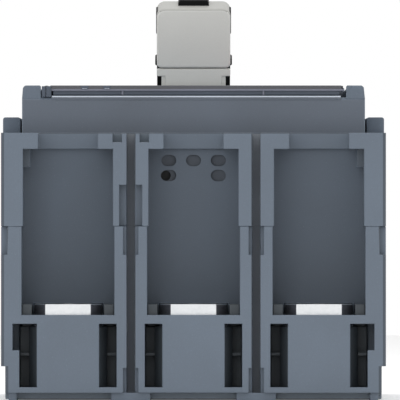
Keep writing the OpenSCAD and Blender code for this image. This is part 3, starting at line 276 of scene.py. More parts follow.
def start_material(name: str) -> tuple[Material, Wiring, Node]:
    """Makes a material with one Principled shader.

    Args:
        name: the material's name.

    Returns:
        The material, its wiring and its Principled node.
    """
    made = bpy.data.materials.new(name)
    made.use_nodes = True
    made.node_tree.nodes.clear()
    wiring = Wiring(made.node_tree)
    shader = wiring.add("ShaderNodeBsdfPrincipled")
    wiring.add("ShaderNodeOutputMaterial", {"Surface": shader.outputs[0]})
    return made, wiring, shader


def toned(colour: tuple[float, ...], gain: float, lift: float = 0.0) -> tuple[float, ...]:
    """Multiplies a linear colour by a gain, adds a lift, and holds each channel at 1."""
    return tuple(min(1.0, c * gain + lift) for c in colour[:3]) + (1.0,)


@dataclass(frozen=True)
class MouldedPlastic:
    """A moulded plastic with cloudy colour, fibre specks, rubbed edges, and corners darkened by dust and
    painted shade.
    """

    name: str
    colour: tuple[int, int, int]
    roughness: float = 0.5
    variation: float = 0.10
    specks: float = 0.25
    rub: float = 0.35
    dust: float = 0.25
    edge_radius: float = 0.0005
    coat: float = 0.0
    sheen: float = 0.5
    # Heights in metres between which painted shade darkens the colour, and the share of colour kept at the
    # first height
    fade_z: Pair | None = None
    fade_to: float = 1.0

    def shaded_by_height(self, wiring: Wiring, colour: Socket) -> Socket:
        """Paints shade into a colour towards the first height, as shade falls deep in a chamber, high in a
        slot or at the foot of a wall.

        Args:
            wiring: the material's wiring.
            colour: the colour to darken.

        Returns:
            The colour with painted shade, darkest at the first height and without shade at the second.
        """
        if self.fade_z is None:
            return colour
        height = wiring.add("ShaderNodeSeparateXYZ", {0: wiring.place()}).outputs["Z"]
        share = wiring.ramp(height, *self.fade_z, 1.0 - self.fade_to, 0.0)
        return wiring.blend(share, colour, BLACK)

    def build(self) -> Material:
        """Builds the material.

        Returns:
            The new material.
        """
        material, wiring, shader = start_material(self.name)
        grain, dust = wiring.effect(EFFECTS.mould_grain), wiring.effect(EFFECTS.corner_dust)
        edge = wiring.effect(EFFECTS.edge_rub, Radius=self.edge_radius)
        base = linear(*self.colour)
        pale = toned(base, *RUBBED)
        colour = wiring.blend(wiring.ramp(grain["Shade"], *NOISE_SPAN), toned(base, 1 - self.variation),
                              toned(base, 1 + self.variation))
        # The last mask darkens corners with dust and painted shade
        for mask, share, other in ((grain["Specks"], self.specks, pale), (edge["Mask"], self.rub, pale),
                                   (dust["Mask"], self.dust, toned(base, *DUSTY_SHADED))):
            colour = wiring.blend(wiring.math("MULTIPLY", mask, share), colour, other)
        satin = wiring.ramp(grain["Shade"], *NOISE_SPAN, self.roughness - 0.07, self.roughness + 0.07)
        polished = wiring.math("SUBTRACT", satin, wiring.math("MULTIPLY", edge["Mask"], 0.12))
        wiring.bump(shader, GRAIN_DEPTH, Height=grain["Height"], Normal=edge["Normal"])
        wiring.fill(shader, {"Base Color": self.shaded_by_height(wiring, colour), "Roughness": polished, "IOR": 1.5,
                             "Specular IOR Level": self.sheen, "Coat Weight": self.coat,
                             "Coat Roughness": 0.12})
        return material


@dataclass(frozen=True)
class WorkedMetal:
    """A drawn, pressed or plated metal with streaks and tarnish."""

    name: str
    colour: tuple[int, int, int]
    tarnish: tuple[int, int, int]
    roughness: float

    def build(self) -> Material:
        """Builds the material.

        Returns:
            The new material.
        """
        material, wiring, shader = start_material(self.name)
        drawn = wiring.effect(EFFECTS.drawn_metal)
        edge = wiring.effect(EFFECTS.edge_rub, Radius=METAL_EDGE_RADIUS)
        base = linear(*self.colour)
        clouded = wiring.blend(wiring.ramp(drawn["Shade"], 0.62, 0.38), base, linear(*self.tarnish))
        rubbed = wiring.blend(wiring.math("MULTIPLY", edge["Mask"], 0.6), clouded, toned(base, 1.15))
        satin = wiring.ramp(drawn["Shade"], *NOISE_SPAN, self.roughness + 0.1, self.roughness - 0.06)
        wiring.bump(shader, STREAK_DEPTH, Height=drawn["Height"], Normal=edge["Normal"])
        wiring.fill(shader, {"Base Color": rubbed, "Roughness": satin, "Metallic": 1.0})
        return material


def board_laminate() -> Material:
    """Builds solder mask over copper tracks.

    Returns:
        The new material.
    """
    material, wiring, shader = start_material("board_laminate")
    tracks = wiring.cells(160.0, feature="DISTANCE_TO_EDGE", distance="MANHATTAN")
    line = wiring.ramp(tracks, 0.10, 0.05)
    wiring.bump(shader, TRACK_DEPTH, Height=line)
    wiring.fill(shader, {"Base Color": wiring.blend(line, linear(16, 78, 44), linear(44, 128, 74)),
                         "Roughness": 0.35, "Coat Weight": 0.5})
    return material


def display_glass() -> Material:
    """Builds a dark liquid crystal pane with its grid of cells.

    Returns:
        The new material.
    """
    material, wiring, shader = start_material("display_glass")
    grid = wiring.cells(1500.0, 0.0, feature="DISTANCE_TO_EDGE", distance="CHEBYCHEV")
    tint = wiring.blend(wiring.ramp(grid, 0.02, 0.09), linear(38, 44, 40), linear(62, 72, 64))
    satin = wiring.ramp(wiring.noise(Scale=80.0), *NOISE_SPAN, 0.16, 0.26)
    wiring.fill(shader, {"Base Color": tint, "Roughness": satin, "Specular IOR Level": 0.3})
    return material


class Finishes:
    """Every material of the breaker, built once."""

    def __init__(self) -> None:
        """Builds the materials."""
        plastic, metal = MouldedPlastic, WorkedMetal
        clean = {"variation": 0.04, "specks": 0.06}
        worn = {**clean, "rub": 0.1, "dust": 0.12, "edge_radius": 0.0006}
        self.shell = plastic("shell_grey", (101, 112, 125), rub=0.45).build()
        # Painted shade: a darker copy of the shell for rounded outer corners, slot edges, lamp-facing tops of
        # the terminal walls and guide blocks deep in the chambers
        self.shell_edge_shade = plastic("shell_edge_shade_grey", (72, 81, 91), rub=0.1).build()
        # Painted shade: a darker copy of the shell for the chambers' back walls, darker still towards the
        # bottom
        self.chamber = plastic("chamber_shaded_grey", (96, 106, 118), 0.6, rub=0.0, dust=0.1, edge_radius=0.00002,
                               fade_z=(0.034, 0.078), fade_to=0.74).build()
        # Painted light: a lighter copy of the shell inside the slots between poles, standing in for light
        # bounced into them, with painted shade towards the top
        self.shell_gap_lit = plastic("shell_gap_lit_grey", (181, 188, 198), 0.6, rub=0.1, fade_z=(0.0955, 0.072),
                                 fade_to=0.54).build()
        # Painted light: a lighter copy of the shell for the set-back panels between the feet and the small
        # pockets, standing in for light bounced from the floor
        self.skirt_lit = plastic("skirt_lit_grey", (121, 131, 141), 0.6, rub=0.1).build()
        # Painted shade: a darker copy of the shell for the set-back end walls of the raised front, darker
        # still at their foot
        self.cover_raised_shade = plastic("cover_raised_shade_grey", (97, 105, 116), rub=0.4, fade_z=(0.0963, 0.103),
                                    fade_to=0.86).build()
        self.flap = plastic("flap_grey", (85, 86, 91), 0.46, rub=0.3).build()
        self.flap_rim = plastic("flap_rim_grey", (77, 86, 99), rub=0.2).build()
        self.flap_line = plastic("flap_line_grey", (119, 122, 136), 0.45, rub=0.2).build()
        # Pale trim: on the lip bead its colour is a painted highlight along the raised front's edge; the seal
        # eyes on the flap use it too
        self.pale_trim_and_highlight = plastic("pale_trim_and_highlight", (200, 208, 220), 0.35, rub=0.1, dust=0.1).build()
        self.cap = plastic("cap_grey", (230, 230, 226), 0.45, **worn).build()
        # Painted shade: a darker copy of the cap finish for the cap's upward faces, which the top lamp lights
        # brighter than the front
        self.cap_crown_shade = plastic("cap_crown_shade_grey", (176, 176, 172), **worn).build()
        self.sleeve = plastic("sleeve_grey", (238, 238, 233), rub=0.12, dust=0.1, **clean).build()
        self.dial = plastic("dial_grey", (214, 214, 210), 0.45, rub=0.12, dust=0.2, **clean).build()
        self.core = plastic("core_black", (13, 14, 15), 0.6, specks=0.03, rub=0.02, dust=0.03,
                            sheen=0.15).build()
        self.black = plastic("satin_black", (22, 24, 25), 0.42, specks=0.05, rub=0.25).build()
        self.keeper = plastic("keeper_grey", (62, 68, 73), 0.55, specks=0.2).build()
        # Painted shade: darker and near-black copies of the shell for the insides of the knock-outs and the
        # lead hole
        self.knock_out_shade = plastic("knock_out_shade_grey", (82, 88, 97), 0.65, specks=0.3).build()
        self.hole = plastic("hole_shade_black", (26, 27, 29), 0.7, specks=0.1).build()
        self.insulation = plastic("insulation_brown", (84, 74, 66), 0.6, specks=0.35).build()
        self.bezel = plastic("bezel_grey", (66, 70, 74), specks=0.1).build()
        self.red = plastic("button_red", (176, 38, 32), 0.35, specks=0.02, coat=0.4).build()
        self.white = plastic("marking_white", (214, 216, 214), 0.6, specks=0.0, dust=0.1).build()
        self.tin = metal("tin_plate", (234, 236, 238), (226, 229, 231), 0.34).build()
        # Painted reflection: a darker copy of the tin for the cut corners of the bars, standing in for the
        # dark chambers that they mirror
        self.tin_shade = metal("tin_bevel_dark_reflection", (112, 115, 123), (96, 98, 105), 0.5).build()
        self.silver = metal("contact_silver", (226, 226, 222), (176, 172, 162), 0.38).build()
        self.copper = metal("drawn_copper", (214, 138, 96), (158, 92, 62), 0.32).build()
        self.zinc = metal("zinc_steel", (166, 168, 166), (128, 130, 128), 0.4).build()
        self.steel = metal("pressed_steel", (142, 144, 146), (104, 104, 104), 0.44).build()
        self.board = board_laminate()
        self.glass = display_glass()


def near(value: float, target: float, reach: float = 0.1) -> bool:
    """Tells whether two lengths differ by less than a reach."""
    return abs(value - target) < reach


class MeshMaker:
    """Turns outlines, blocks and CAD meshes into pieces."""

    @staticmethod
    def corner_normals(shape: BMesh) -> list[Vector]:
        """Works out the normal of every face corner, so that broad faces stay flat beside narrow rounding.

        Args:
            shape: the mesh.

        Returns:
            The normals in the order of the faces and their corners.
        """
        least = math.cos(SMOOTH_BELOW)
        areas = {face: face.calc_area() for face in shape.faces}
        normals = []
        for face in shape.faces:
            for vert in face.verts:
                mixed = Vector()
                for other in vert.link_faces:
                    if face.normal.dot(other.normal) > least:
                        mixed += other.normal * areas[other]
                normals.append(mixed.normalized() if mixed.length > 0 else face.normal.copy())
        return normals

    @classmethod
    def finish(cls, name: str, shape: BMesh, material: Material) -> bpy.types.Object:
        """Turns a bmesh into an object in the scene.

        Args:
            name: the piece's name.
            shape: the mesh, which is freed.
            material: its finish.

        Returns:
            The new object.
        """
        bmesh.ops.recalc_face_normals(shape, faces=shape.faces)
        for face in shape.faces:
            face.smooth = True
        for edge in shape.edges:
            edge.smooth = len(edge.link_faces) == 2 and edge.calc_face_angle(math.pi) < SMOOTH_BELOW
        normals = cls.corner_normals(shape)
        mesh = bpy.data.meshes.new(name)
        shape.to_mesh(mesh)
        shape.free()
        mesh.normals_split_custom_set(normals)
        mesh.materials.append(material)
        made = bpy.data.objects.new(name, mesh)
        bpy.context.scene.collection.objects.link(made)
        return made

    @staticmethod
    def bevel(shape: BMesh, edges: Sequence, rounding: float, steps: int, clamp: bool = True) -> None:
        """Rounds some edges in a number of steps, and may hold the radius where there is no room."""
        bmesh.ops.bevel(shape, geom=edges, offset=rounding * MM, segments=steps, profile=0.5, affect="EDGES",
                        clamp_overlap=clamp)

    @classmethod
    def block(cls, low: Triple, high: Triple, rounding: float, steps: int = 3) -> BMesh:
        """Makes a block with rounded edges.

        Args:
            low: its lowest corner.
            high: its highest corner.
            rounding: radius of its edges.
            steps: faces round each edge.

        Returns:
            The mesh in metres.
        """
        shape = bmesh.new()
        size = [(b - a) * MM for a, b in zip(low, high)]
        move = Matrix.Translation(Vector([(a + b) / 2 * MM for a, b in zip(low, high)]))
        bmesh.ops.create_cube(shape, size=1.0, matrix=move @ Matrix.Diagonal((*size, 1.0)))
        cls.bevel(shape, list(shape.edges), rounding, steps)
        return shape

    @staticmethod
    def point(u: float, v: float, axis: Axis, along: float) -> Vector:
        """Puts a point of an outline at a place along an axis, in metres."""
        return Vector((*(u, v)[:axis.value], along, *(u, v)[axis.value:])) * MM

    @classmethod
    def prism(cls, outline: Sequence[Pair], axis: Axis, start: float, end: float,
              rounding: float = 0.0, steps: int = 2) -> BMesh:
        """Extrudes an outline along one axis and rounds its rims.

        Args:
            outline: points in the two other axes, in X, Y, Z order.
            axis: the direction of the extrusion.
            start: where it starts along the axis.
            end: where it ends.
            rounding: radius of the rims.
            steps: faces round each rim.

        Returns:
            The mesh in metres.
        """
        shape = bmesh.new()
        low, high = ([shape.verts.new(cls.point(u, v, axis, w)) for u, v in outline] for w in (start, end))
        shape.faces.new(low)
        shape.faces.new(list(reversed(high)))
        count = len(outline)
        for i in range(count):
            shape.faces.new([low[i], high[i], high[(i + 1) % count], low[(i + 1) % count]])
        bmesh.ops.recalc_face_normals(shape, faces=shape.faces)
        if rounding > 0:
            rims = [e for e in shape.edges if e.calc_face_angle(0.0) > RIM_ABOVE
                    and near(e.verts[0].co[axis.value], e.verts[1].co[axis.value], 1e-9)]
            cls.bevel(shape, rims, rounding, steps)
        return shape

    @classmethod
    def washer(cls, centre: Pair, outer: float, inner: float, axis: Axis, start: float,
               end: float, squeeze: float = 1.0) -> BMesh:
        """Makes a flat ring, which may be oval.

        Args:
            centre: the middle in the two other axes.
            outer: outer radius.
            inner: inner radius.
            axis: the direction through the hole.
            start: one face along the axis.
            end: the other face.
            squeeze: height of the ring over its width.

        Returns:
            The mesh in metres.
        """
        shape = bmesh.new()
        turns = [2 * math.pi * i / WASHER_SIDES for i in range(WASHER_SIDES)]
        u, v = centre
        rows = [[shape.verts.new(cls.point(u + radius * math.cos(a), v + radius * math.sin(a) * squeeze,
                                           axis, along)) for a in turns]
                for radius, along in ((outer, start), (outer, end), (inner, end), (inner, start))]
        for row, other in zip(rows, rows[1:] + rows[:1]):
            for i in range(WASHER_SIDES):
                beside = (i + 1) % WASHER_SIDES
                shape.faces.new([row[i], row[beside], other[beside], other[i]])
        return shape

    @staticmethod
    def from_cad(node: str) -> BMesh:
        """Copies a CAD node's mesh and joins its triangles into flat faces.

        Args:
            node: the CAD node.

        Returns:
            The mesh in metres.
        """
        shape = bmesh.new()
        shape.from_mesh(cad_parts[node].data)
        bmesh.ops.remove_doubles(shape, verts=shape.verts, dist=WELD)
        bmesh.ops.dissolve_degenerate(shape, edges=shape.edges, dist=SLIVER)
        bmesh.ops.dissolve_limit(shape, angle_limit=FLAT_ANGLE, verts=shape.verts, edges=shape.edges)
        return shape

    @staticmethod
    def paint(piece: bpy.types.Object, material: Material, chosen: Rule) -> None:
        """Gives some faces of a piece another finish.

        Args:
            piece: the object.
            material: the other finish.
            chosen: picks the faces.
        """
        piece.data.materials.append(material)
        painted = [f for f in piece.data.polygons if chosen(f.center / MM, f.normal)]
        for face in painted:
            face.material_index = len(piece.data.materials) - 1
        LOG.info("%s: %d faces in %s", piece.name, len(painted), material.name)

    @staticmethod
    def has_room(edge: bmesh.types.BMEdge, chosen: set, rounding: float) -> bool:
        """Tells whether an edge can be rounded without running over a short edge beside it.

        Args:
            edge: the edge.
            chosen: every edge that would be rounded.
            rounding: radius in metres.

        Returns:
            False where a neighbour is shorter than the rounding needs.
        """
        for face in edge.link_faces:
            for vert in edge.verts:
                beside = next(e for e in face.edges if e is not edge and vert in e.verts)
                far = beside.other_vert(vert)
                shared = any(e in chosen and e is not beside and face in e.link_faces for e in far.link_edges)
                if beside.calc_length() < rounding * (2.05 if shared else 1.05):
                    return False
        return True

    @classmethod
    def soften(cls, node: str, rounding: float, shortest: float = 1.0,
               sharp: Callable[[Vector], bool] | None = None) -> BMesh:
        """Copies a CAD node's mesh and rounds its longer outer edges.

        Args:
            node: the CAD node.
            rounding: radius of the edges.
            shortest: edges below this length stay sharp.
            sharp: takes an edge's middle in millimetres, and says whether it stays sharp.

        Returns:
            The mesh in metres.
        """
        shape = cls.from_cad(node)
        chosen = {e for e in shape.edges if len(e.link_faces) == 2 and e.is_convex
                  and e.calc_face_angle(0.0) > ROUND_ABOVE and e.calc_length() > shortest * MM
                  and not (sharp and sharp((e.verts[0].co + e.verts[1].co) / 2 / MM))}
        crowded = {e for e in chosen if not cls.has_room(e, chosen, rounding * MM)}
        cls.bevel(shape, list(chosen - crowded), rounding, 2, clamp=False)
        return shape


def add_piece(name: str, shape: BMesh, material: Material,
              body: Body = Body.HOUSING, replaces: str | None = None,
              painted: Sequence[tuple[Material, Rule]] = ()) -> bpy.types.Object:
    """Makes a piece, ties it to its body, and logs it.

    Args:
        name: the piece's name.
        shape: its mesh, which is freed.
        material: its finish.
        body: the body that it rides on.
        replaces: the CAD node that it stands for, if any.
        painted: other finishes, and which faces each goes on.

    Returns:
        The piece.
    """
    piece = MeshMaker.finish(name, shape, material)
    for other, chosen in painted:
        MeshMaker.paint(piece, other, chosen)
    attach(piece, body.value)
    if replaces:
        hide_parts(replaces)
    LOG.info("%s on %s: %d faces", name, body.value, len(piece.data.polygons))
    return piece


def soft_piece(name: str, node: str, rounding: float, material: Material, slot: str,
               body: Body = Body.HOUSING, **options: object) -> None:
    """Puts a softened copy in the place of a CAD node, with options of add_piece and soften."""
    painted = options.pop("painted", ())
    add_piece(name, MeshMaker.soften(node, rounding, **options), material, body, node, painted)


def dress(material: Material, *nodes: str) -> None:
    """Gives CAD nodes that stay as they are a new finish.

    Args:
        material: the finish.
        nodes: the CAD nodes.
    """
    for node in nodes:
        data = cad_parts[node].data
        data.materials.clear()
        data.materials.append(material)
        LOG.info("%s dressed in %s", node, material.name)


@dataclass
class Housing:
    """Base and cover with their screws."""

    finishes: Finishes
    edge_mm: float = 0.35
    gap_x: float = 22.5
    gap_half: float = 1.9
    gap_back_y: float = 110.0
    end_y: float = 98.0
    near_y: float = 123.5
    foot_z: float = 3.5
    skirt_y: float = 118.0
    pocket_y: float = 110.0
    pocket_depth: float = 4.0
    block_x: float = 58.0
    block_y: float = 119.0
    block_z: float = 87.2
    block_half: float = 4.0
    corner_x: float = 66.2
    slot_x: float = 20.9
    parting_z: float = 62.8
    terminal_top_z: float = 96.3
    front_z: float = 109.2
    rail_x: float = 55.0
    knock_x: float = 12.5
    knock_z: Pair = (78.0, 89.0)
    knock_depth: Pair = (0.15, 1.8)
    hole_at: Pair = (-10.0, 81.0)
    hole_half: float = 2.0
    hole_depth: Pair = (1.7, 4.0)
    bead_x: Pair = (-51.1, 53.1)
    bead_outline: tuple[Pair, ...] = (
        (-87.45, 109.2), (-87.1, 109.72), (-86.5, 109.75), (-86.5, 109.2))
    band_outline: tuple[Pair, ...] = (
        (-87.36, 108.2), (-87.32, 109.2), (-86.4, 109.2), (-86.4, 108.2))
    rail_corner_y: Pair = (-87.15, -86.85)
    rail_corner: tuple[Pair, ...] = (
        (57.0, 113.5), (57.0, 112.9), (55.3, 111.3), (55.0, 111.3), (55.0, 113.1), (55.4, 113.5))
    rib_x: tuple[Pair, ...] = ((-54.7, -53.3), (-53.15, -51.3))
    rib_y: Pair = (-87.45, -86.85)
    rib_z: Pair = (109.25, 113.25)

    def in_gap(self, at: Vector, normal: Vector) -> bool:
        """Tells whether a face lies inside a slot between two poles, which gets painted light, with painted
        shade near its top.
        """
        beside = near(abs(at.x), self.gap_x, self.gap_half) and at.z > self.foot_z
        flank = abs(normal.x) > VERY_SQUARE and abs(at.y) < self.near_y
        back = self.end_y - 1 < abs(at.y) < self.gap_back_y
        return beside and abs(normal.z) < 0.2 and (flank or back)

    def is_chamber_wall(self, at: Vector, normal: Vector) -> bool:
        """Tells whether a face is the back wall of a terminal chamber, which gets painted shade."""
        return abs(normal.y) > SQUARE and near(abs(at.y), self.end_y) and at.z < self.terminal_top_z

    def is_guide_block(self, at: Vector, normal: Vector) -> bool:
        """Tells whether a face is the front of a guide block in an outer chamber, which gets painted shade.
        """
        beside = self.end_y < abs(at.y) < self.block_y and abs(at.x) > self.block_x
        return beside and abs(normal.y) > SQUARE and near(at.z, self.block_z, self.block_half)

    def is_skirt(self, at: Vector, normal: Vector) -> bool:
        """Tells whether a face fronts the low set-back panels between the feet, or closes a small pocket;
        these get painted light.
        """
        panel = near(abs(at.y), self.skirt_y, 0.15) and at.z < self.foot_z
        pocket = near(abs(at.y), self.pocket_y) and at.z > self.terminal_top_z - self.pocket_depth
        return abs(normal.y) > SQUARE and (panel or pocket)

    def is_chamber_seam(self, at: Vector) -> bool:
        """Tells whether an edge lies where base and cover meet in the back wall of a chamber."""
        return near(at.z, self.parting_z) and near(abs(at.y), self.end_y)

    def is_under_flap(self, at: Vector) -> bool:
        """Tells whether an edge of the cover stays sharp, because it lies under the flap or in the seam."""
        return near(at.z, self.front_z) or self.is_chamber_seam(at)

    def is_edge(self, at: Vector, normal: Vector) -> bool:
        """Tells whether a face rounds an outer corner, a slot's edge or the terminal walls' front edge, which
        get painted shade.
        """
        corner = abs(at.x) > self.corner_x and abs(at.y) > self.near_y - 1 and abs(normal.x) > 0.1
        front = near(at.z, self.terminal_top_z, 0.5) and abs(at.y) > self.end_y
        slot = near(abs(at.x), self.slot_x, 0.3) and abs(at.y) > self.near_y and abs(normal.x) > 0.3
        crest = near(abs(at.x), self.gap_x, self.gap_half) and near(abs(at.y), self.end_y, 0.4)
        return abs(normal.y) > 0.2 and (corner or slot or ((front or crest) and normal.z > 0.2))

    def is_knock_out(self, at: Vector, normal: Vector) -> bool:
        """Tells whether a face lies inside a knock-out over the middle load terminal, which gets painted
        shade.
        """
        (low, high), (front, back) = self.knock_z, self.knock_depth
        return abs(at.x) < self.knock_x and low < at.z < high and front < at.y + self.end_y < back

    def is_lead_hole(self, at: Vector, normal: Vector) -> bool:
        """Tells whether a face lies inside the opened lead hole, which is painted near black as shade."""
        (x, z), (front, back) = self.hole_at, self.hole_depth
        inside = near(at.x, x, self.hole_half) and near(at.z, z, self.hole_half)
        return inside and front < at.y + self.end_y < back

    def is_raised(self, at: Vector, normal: Vector) -> bool:
        """Tells whether a face is an end wall of the raised front, which gets painted shade."""
        return at.z > self.terminal_top_z and abs(normal.y) > SQUARE and abs(at.x) < self.rail_x

    def build(self) -> None:
        """Builds the softened mouldings, the trim at the flap's load end and the screws."""
        look = self.finishes
        first = (look.chamber, self.is_chamber_wall), (look.shell_edge_shade, self.is_edge)
        front = (look.shell_edge_shade, self.is_guide_block), (look.cover_raised_shade, self.is_raised)
        slots = (look.shell_gap_lit, self.in_gap), (look.skirt_lit, self.is_skirt)
        openings = (look.knock_out_shade, self.is_knock_out), (look.hole, self.is_lead_hole)
        soft_piece("base_moulding", "base_housing", self.edge_mm, look.shell, "shell",
                   painted=first + slots, sharp=self.is_chamber_seam)
        soft_piece("cover_moulding", "main_cover", self.edge_mm, look.shell, "shell",
                   painted=first + front + slots + openings, sharp=self.is_under_flap)
        # The bead's pale colour is a painted highlight along the lip of the raised front
        bead = MeshMaker.prism(self.bead_outline, Axis.X, *self.bead_x, rounding=0.1)
        add_piece("lip_highlight_bead", bead, look.pale_trim_and_highlight)
        # A band under the bead, in the painted-shade finish of the raised walls
        band = MeshMaker.prism(self.band_outline, Axis.X, *self.bead_x)
        add_piece("lip_band", band, look.cover_raised_shade)
        for number, side in enumerate((-1, 1), 1):
            outline = [(side * x, z) for x, z in self.rail_corner]
            corner = MeshMaker.prism(outline, Axis.Y, *self.rail_corner_y, rounding=0.04)
            add_piece(f"rail_corner_{number}", corner, look.shell)
        for number, rib_x in enumerate(self.rib_x, 1):
            rib = MeshMaker.block(*zip(rib_x, self.rib_y, self.rib_z), 0.25)
            add_piece(f"hinge_end_rib_{number}", rib, look.flap_rim)
        soft_piece("cover_screw_heads", "cover_screws", 0.25, look.zinc, "zinc_steel")


@dataclass
class Handle:
    """Light grey cap and sleeve on a black core."""

    finishes: Finishes
    pivot: Pair = (7.0, 68.0)
    tilt_deg: float = 19.0
    width: float = 26.8
    cap_thickness: float = 10.0
    cap_z: Pair = (56.85, 79.6)
    foot_radius: float = 1.6
    crown_radius: float = 3.0
    corner_steps: int = 6
    crown_z: float = 139.0
    tab_foot: float = 77.5
    tab_front: float = -3.9
    tab_setback: float = 3.3

    def tilt(self) -> Matrix:
        """Gives the move from a handle drawn upright round its pivot to the off position."""
        move = Matrix.Translation(Vector((0, *self.pivot)) * MM)
        return move @ Matrix.Rotation(math.radians(self.tilt_deg), 4, "X")

    def thinned(self, shape: BMesh) -> BMesh:
        """Sets back the front of the tab that stands out of the cap.

        Args:
            shape: the core's mesh.

        Returns:
            The same mesh, with a thinner tab.
        """
        tilt = self.tilt()
        upright = tilt.inverted()
        for vert in shape.verts:
            local = upright @ vert.co
            if local.z > self.tab_foot * MM and local.y < self.tab_front * MM:
                local.y += self.tab_setback * MM
                vert.co = tilt @ local
        return shape

    def is_shaded_crown(self, at: Vector, normal: Vector) -> bool:
        """Tells whether a face lies on the cap's upper end, which gets painted shade."""
        return at.z > self.crown_z and normal.z > 0.1

    def cap(self) -> BMesh:
        """Makes the cap, with generous rounding at its top corners and round its faces.

        Returns:
            The mesh.
        """
        half, thick = self.width / 2, self.cap_thickness / 2
        low, top = self.cap_z
        outline = []
        for quarter, (side, height) in enumerate(((half, low), (half, top), (-half, top), (-half, low)), -1):
            radius = self.foot_radius if height == low else self.crown_radius
            x, z = side - math.copysign(radius, side), height + (radius if height == low else -radius)
            for k in range(self.corner_steps + 1):
                a = math.radians(90 * (quarter + k / self.corner_steps))
                outline.append((x + radius * math.cos(a), z + radius * math.sin(a)))
        shape = MeshMaker.prism(outline, Axis.Y, -thick, thick, rounding=0.9, steps=4)
        bmesh.ops.transform(shape, matrix=self.tilt(), verts=shape.verts)
        return shape

    def build(self) -> None:
        """Builds the pieces of the handle."""
        look = self.finishes
        add_piece("handle_cap_shell", self.cap(), look.cap, Body.HANDLE, "handle_cap",
                  [(look.cap_crown_shade, self.is_shaded_crown)])
        soft_piece("handle_sleeve_shell", "handle_sleeve", 0.3, look.sleeve, "sleeve", Body.HANDLE)
        core = self.thinned(MeshMaker.soften("toggle_lever", 0.15, 0.6))
        add_piece("handle_core", core, look.core, Body.HANDLE, "toggle_lever")
        dress(look.black, "handle_shutter")
        dress(look.zinc, "toggle_yoke")
        dress(look.steel, "mechanism_springs")


@dataclass
class Flap:
    """Accessory flap with the strips and seals on its load end."""

    finishes: Finishes
    edge_y: float = -86.8
    top_z: float = 113.5
    rim_depth: float = 2.0
    line_x: Pair = (-51.3, 54.4)
    line_z: float = -1.3
    seal_x: Pair = (-39.2, -31.2)
    seal_half: float = 1.3
    eye_depth: float = 1.13
    seam_x: Pair = (-25.6, 25.2)
    seam_half: float = 0.35

    def is_rim(self, at: Vector, normal: Vector) -> bool:
        """Tells whether a face lies on the lower rim."""
        return at.z < self.top_z - self.rim_depth

    def bar(self, x: Pair, y: Pair, z: Pair, rounding: float) -> BMesh:
        """Makes a block with its Y and Z measured from the flap's upper edge at the load end."""
        low, high = ((a, self.edge_y + b, self.top_z + c) for a, b, c in zip(x, y, z))
        return MeshMaker.block(low, high, rounding)

    def build(self) -> None:
        """Builds the flap and its trim."""
        look = self.finishes
        soft_piece("flap_plate", "accessory_cover", 0.25, look.flap, "flap", Body.FLAP,
                   painted=[(look.flap_rim, self.is_rim)])
        line = self.bar(self.line_x, (-0.15, 0.5), (-self.rim_depth, self.line_z), 0.1)
        add_piece("flap_edge_line", line, look.flap_line, Body.FLAP)
        for number, x in enumerate(self.seal_x, 1):
            x_span = x - self.seal_half, x + self.seal_half
            pad = self.bar(x_span, (-0.25, 0.4), (self.line_z, -0.15), 0.15)
            add_piece(f"flap_seal_pad_{number}", pad, look.flap_rim, Body.FLAP)
            eye = MeshMaker.washer((x, self.top_z - self.eye_depth), 1.0, 0.3, Axis.Y, self.edge_y - 0.42,
                                   self.edge_y - 0.1, squeeze=0.13)
            add_piece(f"flap_seal_eye_{number}", eye, look.pale_trim_and_highlight, Body.FLAP)
        for number, x in enumerate(self.seam_x, 1):
            x_span = x - self.seam_half, x + self.seam_half
            rib = self.bar(x_span, (-0.05, 1.2), (-3.4, -self.rim_depth), 0.12)
            add_piece(f"flap_seam_rib_{number}", rib, look.flap_line, Body.FLAP)
        dress(look.zinc, "flap_hinge_pins")


@dataclass
class Terminals:
    """Bars, nuts and keepers at both ends."""

    finishes: Finishes
    corner_y: float = 117.0

    def is_bevel(self, at: Vector, normal: Vector) -> bool:
        """Tells whether a face belongs to a cut corner at the end of a bar, which gets a painted dark
        reflection.
        """
        across = 0.3 < abs(normal.x) < VERY_SQUARE and 0.3 < abs(normal.y) < VERY_SQUARE
        return abs(at.y) > self.corner_y and across and abs(normal.z) < 0.3

    def build(self) -> None:
        """Builds the plated conductors and what holds them."""
        look = self.finishes
        for pole in POLES:
            for side in ("line", "load"):
                soft_piece(f"{side}_bar_{pole}", f"{side}_conductor_{pole}", 0.3, look.tin, "silver_plate",
                           painted=[(look.tin_shade, self.is_bevel)])
        soft_piece("terminal_keepers", "nut_keepers", 0.2, look.keeper, "insulation")
        soft_piece("captive_nuts", "terminal_nuts", 0.3, look.zinc, "zinc_steel")


